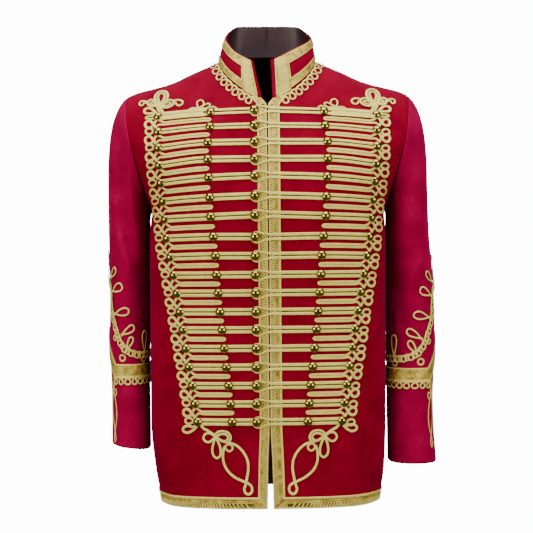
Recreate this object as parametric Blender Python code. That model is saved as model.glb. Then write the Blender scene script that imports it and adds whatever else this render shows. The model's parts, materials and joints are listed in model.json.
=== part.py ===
"""Hussar jacket in its worn, hollow form: wool walls with raised soutache, lace and domed buttons.

Metres, +Z up, front towards -Y, wearer's left towards +X. The origin lies between the two points
where the collar meets the shoulder seams, which is where the wearer's shoulders carry the jacket.
Every wall and every braid is worked out from the sizes below.
"""

import math

import bmesh
import bpy
import numpy as np
from mathutils import Vector
from mathutils.bvhtree import BVHTree
from mathutils.geometry import tessellate_polygon

RIGHT = -1
LEFT = 1
FRONT = -1
BACK = 1
SIDE_NAMES = {RIGHT: "right", LEFT: "left"}

CLOTH = 0.0024  # faced wool with its lining
SEAM = 0.0003  # clear gap between neighbouring pieces
SEAT = 0.0006  # clear gap under lace that lies on cloth
BAR_SEAT = 0.0009  # the same under the bars, whose chords cut across curves
CHAIN_SEAT = 0.0013  # the same under the chains, which cross the hollow beside the underarm
BRAID = 0.0014  # height of the flat braid above its seat
SHOULDER_TIP = 0.237
NECK_SIDE = 0.0805  # half-width of the neck at the shoulder seams
UNDERARM_Z = -0.250
HEM_Z = -0.733
SHOULDER_POWER = 2.2  # roundness of the wall as it runs up to the shoulder seam
BODY_POWER = {FRONT: 2.9, BACK: 2.3}  # squareness of the body's cross-section


class Table:
    """Rows with named columns. A column is read smoothly between rows, by the first column."""

    def __init__(self, columns, rows):
        rows = sorted(rows)
        names = columns.split()
        self.columns = {name: [row[i] for row in rows] for i, name in enumerate(names)}
        self.keys = self.columns[names[0]]
        self.slopes = {name: self.slope_of(values) for name, values in self.columns.items()}

    def slope_of(self, values):
        steps = np.diff(self.keys)
        rates = np.diff(values) / steps
        inner = [
            0.0 if a * b <= 0 else 2 * a * b / (a + b) for a, b in zip(rates, rates[1:])
        ]
        return [rates[0], *inner, rates[-1]]

    def at(self, name, key):
        keys, values, slopes = self.keys, self.columns[name], self.slopes[name]
        key = min(max(key, keys[0]), keys[-1])
        i = min(max(np.searchsorted(keys, key) - 1, 0), len(keys) - 2)
        step = keys[i + 1] - keys[i]
        t = (key - keys[i]) / step
        return (
            (1 + 2 * t) * (1 - t) ** 2 * values[i]
            + t * (1 - t) ** 2 * step * slopes[i]
            + t * t * (3 - 2 * t) * values[i + 1]
            - t * t * (1 - t) * step * slopes[i + 1]
        )


# Girth of the body at each height: half-width on either side, depth before and behind the seams.
BODY = Table(
    "z right left front back",
    [
        (-0.735, 0.1835, 0.1830, 0.122, 0.127),
        (-0.680, 0.1925, 0.1910, 0.119, 0.123),
        (-0.600, 0.1990, 0.1940, 0.118, 0.117),
        (-0.500, 0.1990, 0.1945, 0.119, 0.106),
        (-0.420, 0.1990, 0.1950, 0.121, 0.101),
        (-0.330, 0.1988, 0.1960, 0.127, 0.107),
        (-0.270, 0.1970, 0.1955, 0.130, 0.115),
        (-0.250, 0.1950, 0.1950, 0.131, 0.118),
        (-0.150, 0.1950, 0.1950, 0.126, 0.122),
        (-0.080, 0.1950, 0.1950, 0.114, 0.120),
        (0.035, 0.1950, 0.1950, 0.096, 0.116),
    ],
)

# Above the underarm, by the share of the way up to the shoulder seam: how far the body's curve
# would reach sideways, and where the armhole cuts it.
CHEST = Table(
    "share reach armhole",
    [
        (0.000, 0.1950, 0.1950),
        (0.060, 0.1985, 0.1980),
        (0.120, 0.2035, 0.2018),
        (0.183, 0.2105, 0.2050),
        (0.393, 0.2370, 0.2170),
        (0.733, 0.2803, 0.2310),
        (1.000, 0.3000, SHOULDER_TIP),
    ],
)

# Height of the shoulder seam, carried on over the neck opening as the surface would run.
SHOULDER = Table(
    "x z",
    [
        (0.000, 0.0350),
        (0.040, 0.0270),
        (0.081, 0.0000),
        (0.100, -0.0085),
        (0.128, -0.0205),
        (0.150, -0.0312),
        (0.170, -0.0385),
        (0.195, -0.0450),
        (0.220, -0.0515),
        (0.237, -0.0590),
        (0.280, -0.0800),
    ],
)

NECK_FRONT = Table(
    "x z",
    [
        (0.0095, -0.0720),
        (0.0234, -0.0670),
        (0.0380, -0.0580),
        (0.0525, -0.0460),
        (0.0672, -0.0295),
        (0.0765, -0.0125),
        (NECK_SIDE, 0.0),
    ],
)
NECK_BACK = Table(
    "x z",
    [(0.0, 0.0155), (0.035, 0.0140), (0.060, 0.0090), (0.074, 0.0040), (NECK_SIDE, 0.0)],
)

# Distance of each front edge from the centre: a V under the collar, closed down to the last
# loop, then open to the hem.
FRONT_EDGE = Table(
    "z x",
    [
        (-0.735, 0.0046),
        (-0.660, 0.0027),
        (-0.600, 0.0004),
        (-0.0845, 0.0004),
        (-0.0720, 0.0095),
    ],
)

# Sections of each sleeve below the cap: height, drop of the inner side, reach towards and away
# from the body, and centre and half of its depth.
SLEEVE = {
    RIGHT: Table(
        "z tilt inner outer middle depth",
        [
            (-0.2500, 0.045, 0.2003, 0.2695, 0.012, 0.074),
            (-0.3050, 0.022, 0.2006, 0.2695, 0.014, 0.074),
            (-0.3500, 0.012, 0.2006, 0.2690, 0.017, 0.072),
            (-0.3950, 0.006, 0.2006, 0.2690, 0.019, 0.070),
            (-0.4650, 0.000, 0.2025, 0.2700, 0.016, 0.066),
            (-0.5100, 0.000, 0.2030, 0.2680, 0.012, 0.063),
            (-0.5600, 0.000, 0.2024, 0.2660, 0.006, 0.059),
            (-0.6425, 0.005, 0.2006, 0.2650, -0.004, 0.054),
        ],
    ),
    LEFT: Table(
        "z tilt inner outer middle depth",
        [
            (-0.2500, 0.045, 0.1985, 0.2690, 0.012, 0.074),
            (-0.3050, 0.022, 0.1985, 0.2710, 0.014, 0.074),
            (-0.3500, 0.012, 0.1985, 0.2755, 0.017, 0.072),
            (-0.3900, 0.006, 0.1985, 0.2790, 0.019, 0.070),
            (-0.4300, 0.003, 0.1985, 0.2805, 0.018, 0.068),
            (-0.4700, 0.000, 0.1985, 0.2803, 0.016, 0.066),
            (-0.5250, 0.000, 0.1985, 0.2775, 0.011, 0.063),
            (-0.5700, 0.000, 0.1980, 0.2752, 0.006, 0.059),
            (-0.6100, 0.000, 0.1977, 0.2755, 0.001, 0.056),
            (-0.6720, 0.000, 0.1977, 0.2790, -0.005, 0.054),
        ],
    ),
}
SLEEVE_BOTTOM = {RIGHT: -0.6425, LEFT: -0.672}
SLEEVE_TOP = -0.250
SLEEVE_SQUARE = 0.88

# Largest creases of the sleeves: turn (0 outside, 0.25 front, 0.5 inside, 0.75 back) and height of
# both ends, depth (a ridge is negative) and half-width.
CREASES = {
    RIGHT: [
        (0.16, -0.215, 0.40, -0.375, 0.0075, 0.018),
        (0.90, -0.270, 0.66, -0.360, 0.0050, 0.017),
        (0.30, -0.330, 0.18, -0.400, -0.0030, 0.016),
    ],
    LEFT: [
        (0.42, -0.320, 0.32, -0.435, 0.0065, 0.017),
        (0.22, -0.350, 0.40, -0.460, -0.0035, 0.016),
        (0.62, -0.330, 0.85, -0.410, 0.0050, 0.017),
    ],
}

# Top edge of the collar, by turn from the middle of the back (0) to the front tip (1).
COLLAR_TOP = {
    RIGHT: Table(
        "turn x y z",
        [
            (0.00, 0.0000, 0.0440, 0.0680),
            (0.25, 0.0480, 0.0310, 0.0660),
            (0.40, 0.0650, 0.0090, 0.0520),
            (0.50, 0.0690, -0.0080, 0.0400),
            (0.62, 0.0630, -0.0300, 0.0260),
            (0.78, 0.0510, -0.0510, 0.0105),
            (1.00, 0.0235, -0.0680, -0.0070),
        ],
    ),
    LEFT: Table(
        "turn x y z",
        [
            (0.00, 0.0000, 0.0440, 0.0680),
            (0.25, 0.0490, 0.0310, 0.0650),
            (0.40, 0.0680, 0.0090, 0.0510),
            (0.50, 0.0745, -0.0080, 0.0390),
            (0.62, 0.0665, -0.0300, 0.0285),
            (0.78, 0.0480, -0.0500, 0.0165),
            (1.00, 0.0065, -0.0700, -0.0065),
        ],
    ),
}

# The braided rows: heights at the centre, inner and outer buttons, distances of those buttons,
# and half-heights of the bar nearer to and farther from the centre.
ROW_COLUMNS = "z_centre z_inner z_outer x_inner x_outer near far".split()
ROWS = [
    dict(zip(ROW_COLUMNS, row))
    for row in (
        (-0.0925, -0.0945, -0.0994, 0.0917, 0.1780, 0.0060, 0.0080),
        (-0.1183, -0.1193, -0.1254, 0.0927, 0.1775, 0.0053, 0.0051),
        (-0.1455, -0.1456, -0.1521, 0.0959, 0.1765, 0.0060, 0.0056),
        (-0.1729, -0.1730, -0.1804, 0.0959, 0.1750, 0.0061, 0.0060),
        (-0.1995, -0.2025, -0.2085, 0.0945, 0.1726, 0.0063, 0.0062),
        (-0.2314, -0.2343, -0.2380, 0.0928, 0.1695, 0.0063, 0.0063),
        (-0.2618, -0.2649, -0.2672, 0.0917, 0.1665, 0.0065, 0.0065),
        (-0.2976, -0.2967, -0.2981, 0.0879, 0.1638, 0.0065, 0.0065),
        (-0.3278, -0.3273, -0.3286, 0.0847, 0.1590, 0.0065, 0.0065),
        (-0.3578, -0.3578, -0.3578, 0.0833, 0.1530, 0.0065, 0.0065),
        (-0.3869, -0.3869, -0.3869, 0.0810, 0.1480, 0.0065, 0.0065),
        (-0.4169, -0.4169, -0.4169, 0.0785, 0.1430, 0.0065, 0.0065),
        (-0.4459, -0.4459, -0.4459, 0.0755, 0.1385, 0.0065, 0.0065),
        (-0.4757, -0.4757, -0.4757, 0.0722, 0.1340, 0.0065, 0.0065),
        (-0.5056, -0.5056, -0.5056, 0.0690, 0.1290, 0.0065, 0.0065),
        (-0.5353, -0.5353, -0.5353, 0.0657, 0.1240, 0.0065, 0.0065),
        (-0.5646, -0.5646, -0.5646, 0.0630, 0.1200, 0.0065, 0.0065),
        (-0.5935, -0.5935, -0.5935, 0.0606, 0.1157, 0.0065, 0.0065),
    )
]
CENTRE_BUTTON_X = 0.0212
BUTTON_RADIUS = 0.0072
BUTTON_HEIGHT = 0.0046
SHANK = 0.0024
TONGUE_HALF = 0.0046
LACE = 0.0120
LACE_CORD = 0.0040


def material(name, colour, roughness, metallic=0.0):
    made = bpy.data.materials.new(name)
    made.use_nodes = True
    shader = made.node_tree.nodes["Principled BSDF"]
    shader.inputs["Base Color"].default_value = (*colour, 1)
    shader.inputs["Roughness"].default_value = roughness
    shader.inputs["Metallic"].default_value = metallic
    return made


def add_object(name, points, faces, finish):
    """A mesh object with its faces turned outwards and its round surfaces shaded smooth."""
    mesh = bpy.data.meshes.new(name)
    mesh.from_pydata([tuple(point) for point in points], [], faces)
    work = bmesh.new()
    work.from_mesh(mesh)
    bmesh.ops.recalc_face_normals(work, faces=work.faces)
    if work.calc_volume(signed=True) < 0:
        bmesh.ops.reverse_faces(work, faces=work.faces)
    work.to_mesh(mesh)
    work.free()
    mesh.materials.append(finish)
    mesh.shade_smooth()
    mesh.set_sharp_from_angle(angle=math.radians(40))
    made = bpy.data.objects.new(name, mesh)
    bpy.context.scene.collection.objects.link(made)
    return made


def unit(vector):
    return vector / np.linalg.norm(vector)


def share_up(x, z):
    """Share of the way from the underarm to the shoulder seam above this x."""
    return (z - UNDERARM_Z) / (SHOULDER.at("z", x) - UNDERARM_Z)


def roundover(share):
    return 1.0 if share <= 0 else math.sqrt(max(1 - share**SHOULDER_POWER, 0.0))


def half_width(side, share, z):
    return CHEST.at("reach", share) if share > 0 else BODY.at(SIDE_NAMES[side], z)


def body_depth(face, z):
    return BODY.at("front" if face == FRONT else "back", z)


def body_y(side, face, x, z):
    """Y of the body's outer surface at (x, z), with x measured outwards."""
    x = abs(x)
    share = share_up(x, z)
    power = BODY_POWER[face]
    ratio = min(x / half_width(side, share, z), 1.0)
    return face * body_depth(face, z) * roundover(share) * (1 - ratio**power) ** (1 / power)


def body_normal(side, face, point):
    """Outward direction of the body's surface at a point on it, with x measured outwards."""

    def level(x, y, z):
        share = share_up(abs(x), z)
        power = BODY_POWER[face]
        depth = body_depth(face, z) * max(roundover(share), 1e-3)
        return (abs(x) / half_width(side, share, z)) ** power + (abs(y) / depth) ** power

    step = 2e-4
    return unit(
        np.array(
            [
                level(*(point + shift)) - level(*(point - shift))
                for shift in np.eye(3) * step
            ]
        )
    )


def body_point(side, face, u, v):
    """Panel surface: u from the centre to the side seam or armhole, v to the underarm at 1, and
    on to the shoulder seam at 2."""
    power = BODY_POWER[face]
    if v <= 1:
        z = HEM_Z + (UNDERARM_Z - HEM_Z) * v
        share = 0.0
        half = half_width(side, share, z)
        angle = u * math.pi / 2
        x = half * math.sin(angle) ** (2 / power)
    else:
        share = (v - 1) * (3 - v)
        half = CHEST.at("reach", share)
        end = math.asin(min((CHEST.at("armhole", share) / half) ** (power / 2), 1.0))
        angle = u * end
        x = half * math.sin(angle) ** (2 / power)
        z = UNDERARM_Z + (SHOULDER.at("z", x) - UNDERARM_Z) * share
    depth = body_depth(face, z) * roundover(share)
    y = face * (depth * max(math.cos(angle), 0.0) ** (2 / power) + SEAM / 2)
    return np.array([side * x, y, z])


def share_of_x(side, face, x, v):
    """The u at which a panel's row lies at this x."""
    low, high = 0.0, 1.0
    for _ in range(40):
        middle = (low + high) / 2
        if abs(body_point(side, face, middle, v)[0]) < x:
            low = middle
        else:
            high = middle
    return (low + high) / 2


def neck_row(side, face, u):
    """The v at which this column of a panel meets the neckline, or 2 beside the neck."""
    neck = NECK_FRONT if face == FRONT else NECK_BACK
    low, high = 1.0, 2.0
    for _ in range(40):
        middle = (low + high) / 2
        x, _, z = body_point(side, face, u, middle)
        if abs(x) < NECK_SIDE and z > neck.at("z", abs(x)):
            high = middle
        else:
            low = middle
    return (low + high) / 2


def slopes_on(surface, u, v):
    """Directions along u and along v on a surface."""
    step = 1e-4
    ends = [min(max(value, 0.0), 2.0) for value in (u - step, u + step, v - step, v + step)]
    along_u = surface(min(ends[1], 1.0), v) - surface(ends[0], v)
    along_v = surface(u, ends[3]) - surface(u, ends[2])
    return along_u, along_v


def wall(name, outer, normals, finish, closed=False):
    """A cloth wall from rows of outer points and their outward normals. A closed wall joins its
    last column to its first."""
    rows, columns = len(outer), len(outer[0])
    points = [p for row in outer for p in row]
    points += [
        p - n * CLOTH for row, turned in zip(outer, normals) for p, n in zip(row, turned)
    ]
    inner = rows * columns
    spans = columns if closed else columns - 1
    faces = []
    for r in range(rows - 1):
        for c in range(spans):
            d = (c + 1) % columns
            a, b = r * columns + c, r * columns + d
            e, f = b + columns, a + columns
            for corners in ((a, b, e), (a, e, f)):
                faces += [corners, [inner + i for i in corners[::-1]]]
    for c in range(spans):
        d = (c + 1) % columns
        top = (rows - 1) * columns
        faces.append((c, inner + c, inner + d, d))
        faces.append((top + d, inner + top + d, inner + top + c, top + c))
    if not closed:
        for r in range(rows - 1):
            a, b = r * columns, (r + 1) * columns
            faces.append((b, inner + b, inner + a, a))
            a, b = a + columns - 1, b + columns - 1
            faces.append((a, inner + a, inner + b, b))
    return add_object(name, points, faces, finish)


FRONT_COLUMNS = (0.0, 0.09, 0.17, None, 0.37, 0.50, 0.63, 0.75, 0.87, 1.0)
BACK_COLUMNS = (0.0, 0.11, 0.20, None, 0.41, 0.56, 0.71, 0.86, 1.0)
LOWER_ROWS = 7
ROW_SPREAD = 1.3  # rows of a panel lie closer together beside the underarm
UPPER_ROWS = 8


def panel_grid(side, face):
    """Outer points and normals of half a front or back, from the hem up. The column without a
    number runs to the point where the neck meets the shoulder seam."""
    columns = FRONT_COLUMNS if face == FRONT else BACK_COLUMNS
    neck_u = share_of_x(side, face, NECK_SIDE, 2.0)
    columns = [neck_u if u is None else u for u in columns]
    levels = [1 - (1 - r / LOWER_ROWS) ** ROW_SPREAD for r in range(LOWER_ROWS)]
    points = [[] for _ in range(LOWER_ROWS + UPPER_ROWS + 1)]
    normals = [[] for _ in points]
    surface = lambda u, v: body_point(side, face, u, v)
    for u in columns:
        top = neck_row(side, face, u) if u < neck_u - 1e-6 else 2.0
        rise = [1 + (top - 1) * (r / UPPER_ROWS) ** ROW_SPREAD for r in range(UPPER_ROWS + 1)]
        for r, v in enumerate(levels + rise):
            at = u
            if u == 0.0 and face == FRONT:
                z = surface(0.0, v)[2]
                at = share_of_x(side, face, FRONT_EDGE.at("x", z), v)
            along_u, along_v = slopes_on(surface, at, v)
            normal = unit(np.cross(along_u, along_v)) * (side * -face)
            points[r].append(surface(at, v))
            normals[r].append(normal)
    return points, normals


def facets(rows, columns):
    """Triangles of a grid of points, each quad cut along the same diagonal."""
    found = []
    for r in range(rows - 1):
        for c in range(columns - 1):
            a = r * columns + c
            found += [(a, a + 1, a + columns + 1), (a, a + columns + 1, a + columns)]
    return found


def on_front(side):
    """Places (x, z, height) on one front: x outwards from the centre, height above the cloth and
    its facets."""
    grid = panel_grid(side, FRONT)[0]
    points = [Vector((side * p[0], p[1], p[2])) for row in grid for p in row]
    skin = BVHTree.FromPolygons(points, facets(len(grid), len(grid[0])))

    def place(x, z, height):
        point = np.array([x, body_y(side, FRONT, x, z), z])
        normal = body_normal(side, FRONT, point)
        point[1] -= SEAM / 2
        hit = skin.ray_cast(Vector((abs(x), -1.0, z)), Vector((0.0, 1.0, 0.0)))[0]
        if hit:
            point[1] = min(point[1], hit[1])
        moved = point + normal * height
        return np.array([side * moved[0], moved[1], moved[2]])

    return place


PANEL_EDGE = {
    (side, face): [row[-1] for row in panel_grid(side, face)[1]][:-UPPER_ROWS - 2:-1]
    for side in (RIGHT, LEFT)
    for face in (FRONT, BACK)
}


def make_fronts(finish):
    for side in (RIGHT, LEFT):
        points, normals = panel_grid(side, FRONT)
        wall(f"front_{SIDE_NAMES[side]}", points, normals, finish)


def make_back(finish):
    right, right_normals = panel_grid(RIGHT, BACK)
    left, left_normals = panel_grid(LEFT, BACK)
    points = [a[:0:-1] + b for a, b in zip(right, left)]
    normals = [a[:0:-1] + b for a, b in zip(right_normals, left_normals)]
    wall("back", points, normals, finish)


def armhole(side, turn):
    """Point of the armhole seam, turn 0 at the shoulder, 0.25 in front, 0.5 under the arm."""
    rise = min(abs(1 - 2 * turn), 1.0)
    return body_point(side, FRONT if turn <= 0.5 else BACK, 1.0, 1 + rise**ROW_SPREAD)


def crease(side, turn, z):
    """How far the largest creases pull the sleeve's surface in."""
    sunk = 0.0
    girth = 0.34
    for turn_a, z_a, turn_b, z_b, depth, width in CREASES[side]:
        start = np.array([turn_a * girth, z_a])
        along = np.array([turn_b * girth, z_b]) - start
        offset = np.array([turn * girth, z]) - start
        share = float(np.dot(offset, along) / np.dot(along, along))
        away = np.linalg.norm(offset - along * min(max(share, 0.0), 1.0))
        sunk += depth * math.exp(-((away / width) ** 2))
    return sunk


def sleeve_ring(side, turn, z):
    """Point of the sleeve's outer surface below the cap, on the section at this height."""
    table = SLEEVE[side]
    inner, outer, middle, depth, tilt = (
        table.at(name, z) for name in ("inner", "outer", "middle", "depth", "tilt")
    )
    cosine, sine = math.cos(2 * math.pi * turn), math.sin(2 * math.pi * turn)
    across = math.copysign(abs(cosine) ** SLEEVE_SQUARE, cosine)
    along = math.copysign(abs(sine) ** SLEEVE_SQUARE, sine)
    sunk = crease(side, turn, z)
    x = (inner + outer) / 2 + ((outer - inner) / 2 - sunk * (cosine > 0)) * across
    y = middle - (depth - sunk) * along
    return np.array([side * x, y, z + tilt * cosine])


def sleeve_point(side, turn, v):
    """Sleeve surface: v from the armhole (0) over the cap to its end (1), and on to the cuff (2)."""
    turn %= 1.0
    if v > 1:
        return sleeve_ring(side, turn, SLEEVE_TOP + (SLEEVE_BOTTOM[side] - SLEEVE_TOP) * (v - 1))
    start, end = armhole(side, turn), sleeve_ring(side, turn, SLEEVE_TOP)
    above = 0.5 + 0.5 * math.cos(2 * math.pi * turn)
    leave = unit(np.array([side * (0.45 + 0.25 * above), 0.0, -0.9 + 0.2 * above]))
    start = start + leave * SEAM * 1.6
    first = start + leave * (0.007 + 0.0135 * above)
    last = end + np.array([0.0, 0.0, 0.024 + 0.051 * above])
    return (
        (1 - v) ** 3 * start
        + 3 * v * (1 - v) ** 2 * first
        + 3 * v * v * (1 - v) * last
        + v**3 * end
    )


def sleeve_normal(side, turn, v):
    step = 1e-3
    around = sleeve_point(side, turn + step, v) - sleeve_point(side, turn - step, v)
    down = sleeve_point(side, turn, min(v + step, 2)) - sleeve_point(
        side, turn, max(v - step, 0)
    )
    return unit(np.cross(around, down)) * side


SLEEVE_TURNS = 2 * UPPER_ROWS  # the sleeve's columns meet the rows of the armhole
CAP_ROWS = 5
ARM_ROWS = 9


def seam_normal(side, turn, normal):
    """Where sleeve and panel run on into each other, both end faces stand square to the panel."""
    face = FRONT if turn <= 0.5 else BACK
    panel = PANEL_EDGE[side, face][round(min(2 * turn, 2 - 2 * turn) * UPPER_ROWS)]
    return panel if np.dot(panel, normal) > 0.3 else normal


def make_sleeves(finish):
    heights = [r / CAP_ROWS for r in range(CAP_ROWS)]
    heights += [1 + r / ARM_ROWS for r in range(ARM_ROWS + 1)]
    for side in (RIGHT, LEFT):
        turns = [k / SLEEVE_TURNS for k in range(SLEEVE_TURNS)]
        points = [[sleeve_point(side, turn, v) for turn in turns] for v in heights]
        normals = [[sleeve_normal(side, turn, v) for turn in turns] for v in heights]
        normals[0] = [seam_normal(side, turn, n) for turn, n in zip(turns, normals[0])]
        wall(f"sleeve_{SIDE_NAMES[side]}", points, normals, finish, closed=True)


NECK_COLUMNS = 4  # columns of each half panel that end at the neck


def neckline(side):
    """Points where the panels' columns end at the neck, from the middle of the back to the front
    edge."""
    behind = panel_grid(side, BACK)[0][-1][:NECK_COLUMNS]
    ahead = panel_grid(side, FRONT)[0][-1][:NECK_COLUMNS]
    return [*behind[:-1], (behind[-1] + ahead[-1]) / 2, *ahead[-2::-1]]


NECKLINE = {side: np.array(neckline(side)) for side in (RIGHT, LEFT)}


def collar_point(turn, height):
    """Outer surface of the collar: turn -1 at the right front edge, 0 behind, 1 at the left."""
    side = LEFT if turn > 0 else RIGHT
    table = COLLAR_TOP[side]
    top = np.array([side * table.at("x", abs(turn)), *(table.at(n, abs(turn)) for n in "yz")])
    stops = np.linspace(0, 1, len(NECKLINE[side]))
    base = np.array([np.interp(abs(turn), stops, values) for values in NECKLINE[side].T])
    base = base + unit(top - base) * SEAM * 2
    swell = 0.0022 * math.sin(math.pi * min(max(height, 0.0), 1.0))
    outward = unit(np.array([base[0], base[1] + 0.005, 0.0]))
    return base + (top - base) * height + outward * swell


def collar_normal(turn, height):
    step = 1e-3
    low, high = max(turn - step, -1.0), min(turn + step, 1.0)
    around = collar_point(high, height) - collar_point(low, height)
    up = collar_point(turn, height + step) - collar_point(turn, height - step)
    return unit(np.cross(up, around))


COLLAR_TURNS = [k / 12 for k in range(-12, 13)]
COLLAR_HEIGHTS = (0.0, 0.28, 0.64, 1.0)


def collar_grid():
    """Outer points and normals of the collar, from its seam up."""
    return [
        [[reading(turn, height) for turn in COLLAR_TURNS] for height in COLLAR_HEIGHTS]
        for reading in (collar_point, collar_normal)
    ]


def on_collar():
    """Places (turn, height, lift) on the facets of the collar."""
    points, normals = (np.array(values) for values in collar_grid())

    def between(values, turn, height):
        rows = [[np.interp(turn, COLLAR_TURNS, axis) for axis in row.T] for row in values]
        return np.array([np.interp(height, COLLAR_HEIGHTS, axis) for axis in zip(*rows)])

    def place(turn, height, lift):
        return between(points, turn, height) + unit(between(normals, turn, height)) * lift

    return place


def make_collar(finish):
    points, normals = collar_grid()
    wall("collar", points, normals, finish)


class Plate:
    """Flat braid as cells on a surface. Cells share the corners that they have in common."""

    def __init__(self, place, seat=SEAT, thick=BRAID, girth=None):
        self.place, self.seat, self.thick, self.girth = place, seat, thick, girth
        self.spots, self.index, self.flat, self.domes = [], {}, [], []

    def corner(self, spot):
        x = spot[0] % self.girth if self.girth else spot[0]
        key = (round(x, 7), round(spot[1], 7))
        if key not in self.index:
            self.index[key] = len(self.spots)
            self.spots.append(key)
        return self.index[key]

    def cell(self, outline, hole=()):
        loops = [list(outline), list(hole)] if len(hole) else [list(outline)]
        spots = [spot for loop in loops for spot in loop]
        if not len(hole) and len(outline) == 4:
            for corners in ((0, 1, 2), (0, 2, 3)):
                self.flat.append(self.wound([spots[i] for i in corners]))
            return
        outlines = [[(spot[0], spot[1], 0.0) for spot in loop] for loop in loops]
        for triangle in tessellate_polygon(outlines):
            self.flat.append(self.wound([spots[i] for i in triangle]))

    def wound(self, spots):
        """Corner numbers of a cell, turned the same way for every cell."""
        after = [*spots[1:], spots[0]]
        area = sum(a[0] * b[1] - b[0] * a[1] for a, b in zip(spots, after))
        return [self.corner(spot) for spot in (spots if area > 0 else spots[::-1])]

    def button(self, outline, centre, shank=False):
        """A square cell that carries a domed button, with its shank where it stands on one."""
        self.flat.append(self.wound(list(outline)))
        self.domes.append((len(self.flat) - 1, centre, shank))

    def build(self, name, finish):
        count = len(self.spots)
        low = [self.place(x, z, self.seat) for x, z in self.spots]
        high = [self.place(x, z, self.seat + self.thick) for x, z in self.spots]
        points = low + high
        raised = {number for number, _, _ in self.domes}
        faces = [loop[::-1] for loop in self.flat]
        faces += [
            [i + count for i in loop] for n, loop in enumerate(self.flat) if n not in raised
        ]
        edges = {}
        for loop in self.flat:
            for a, b in zip(loop, loop[1:] + loop[:1]):
                edges[(a, b)] = edges.get((a, b), 0) + 1
        faces += [(a, b, b + count, a + count) for a, b in edges if (b, a) not in edges]
        for number, centre, shank in self.domes:
            self.raise_button(points, faces, [i + count for i in self.flat[number]], centre, shank)
        return add_object(name, points, faces, finish)

    def ring(self, points, centre, radius, height, sides, turn=0.5):
        start = len(points)
        for k in range(sides):
            angle = 2 * math.pi * (k + turn) / sides
            x, z = centre[0] + radius * math.cos(angle), centre[1] + radius * math.sin(angle)
            points.append(self.place(x, z, self.seat + self.thick + height))
        return list(range(start, start + sides))

    def raise_button(self, points, faces, square, centre, shank):
        corners = sorted(
            square,
            key=lambda i: math.atan2(
                self.spots[i - len(self.spots)][1] - centre[1],
                self.spots[i - len(self.spots)][0] - centre[0],
            ),
        )
        base, lift = corners, 0.0
        if shank:
            foot = self.ring(points, centre, 0.0030, 0.0, 4)
            neck = self.ring(points, centre, 0.0030, SHANK, 4)
            order = self.matched(points, corners, foot)
            faces += [
                (corners[k], corners[(k + 1) % 4], order[(k + 1) % 4], order[k]) for k in range(4)
            ]
            neck = [neck[foot.index(i)] for i in order]
            faces += [(order[k], order[(k + 1) % 4], neck[(k + 1) % 4], neck[k]) for k in range(4)]
            base, lift = neck, SHANK
        rim_height = lift + (0.0002 if shank else 0.0018)
        rim = self.ring(points, centre, BUTTON_RADIUS * (1.0 if shank else 0.88), rim_height, 8)
        start = self.nearest(points, base[0], rim)
        for k in range(4):
            a, b = base[k], base[(k + 1) % 4]
            first, second, third = (rim[(start + 2 * k + j) % 8] for j in range(3))
            faces += [(a, second, first), (a, b, third, second)]
        crown = len(points)
        points.append(self.place(*centre, self.seat + self.thick + lift + BUTTON_HEIGHT))
        faces += [(rim[k], rim[(k + 1) % 8], crown) for k in range(8)]

    @staticmethod
    def nearest(points, corner, ring):
        """Index of the ring's point that comes just before the corner, seen round the ring."""
        away = [np.linalg.norm(points[i] - points[corner]) for i in ring]
        order = sorted(range(len(ring)), key=lambda k: away[k])[:2]
        first, second = sorted(order)
        return second if (first, second) == (0, len(ring) - 1) else first

    @staticmethod
    def matched(points, corners, ring):
        away = [np.linalg.norm(points[i] - points[corners[0]]) for i in ring]
        start = int(np.argmin(away))
        return [ring[(start + k) % len(ring)] for k in range(len(ring))]


def bar_height(row, x):
    """Height of a bar's centre line at x."""
    curve = Table(
        "x z",
        [(0.0, row["z_centre"]), (row["x_inner"], row["z_inner"]), (row["x_outer"], row["z_outer"])],
    )
    return curve.at("z", x) if x < row["x_outer"] else row["z_outer"]


def bar_half(row, x):
    share = min(max((x - row["x_inner"] - 0.004) / 0.008, 0.0), 1.0)
    return row["near"] + (row["far"] - row["near"]) * share


def station(row, x):
    """Lower and upper corner of the bar at x."""
    z, half = bar_height(row, x), bar_half(row, x)
    return (x, z - half), (x, z + half)


def make_frogs(finish):
    """Each row on each front: a bar of two cords with its buttons. On the left front it ends in a
    loop that goes round the centre button of the right front."""
    reach = 0.0070
    lace_end = LACE + LACE_CORD + 0.0018
    step = BRAID + 2 * SEAM  # rise of a bar where it crosses the lace of the front edge
    for number, row in enumerate(ROWS, 1):
        outer, inner = row["x_outer"], row["x_inner"]
        parts = 4 if outer - inner > 0.066 else 3
        middle = list(np.linspace(outer - reach, inner + reach, parts))
        for side in (RIGHT, LEFT):
            on_cloth = on_front(side)

            def place(x, z, height):
                return on_cloth(x, z, height + (step if x < lace_end else 0.0))

            plate = Plate(place if side == LEFT else on_cloth, seat=BAR_SEAT)
            buttons = [outer, inner]
            stops = [outer + reach, *middle]
            if side == RIGHT:
                edge = CENTRE_BUTTON_X + reach
                buttons.append(CENTRE_BUTTON_X)
                stops += [*np.linspace(inner - reach, edge, 3), lace_end + 0.0004]
            else:
                stops += [*np.linspace(inner - reach, lace_end + 0.0080, 3), lace_end - 0.0002]
                stops.append(0.0030)
            for a, b in zip(stops, stops[1:]):
                outline = [*station(row, a), *station(row, b)[::-1]]
                held = [x for x in buttons if b - 1e-6 <= x <= a + 1e-6]
                if held:
                    centre = (held[0], bar_height(row, held[0]))
                    plate.button(outline, centre, shank=held[0] == CENTRE_BUTTON_X)
                else:
                    plate.cell(outline)
            if side == LEFT:
                add_end_loop(plate, row)
            plate.build(f"frog_{SIDE_NAMES[side]}_{number:02d}", finish)


END_LOOP = [
    # distance past the edge, half-height outside and inside
    (0.0080, 0.0075, 0.0024),
    (0.0212, 0.0092, 0.0047),
    (0.0285, 0.0060, 0.0030),
]


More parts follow.
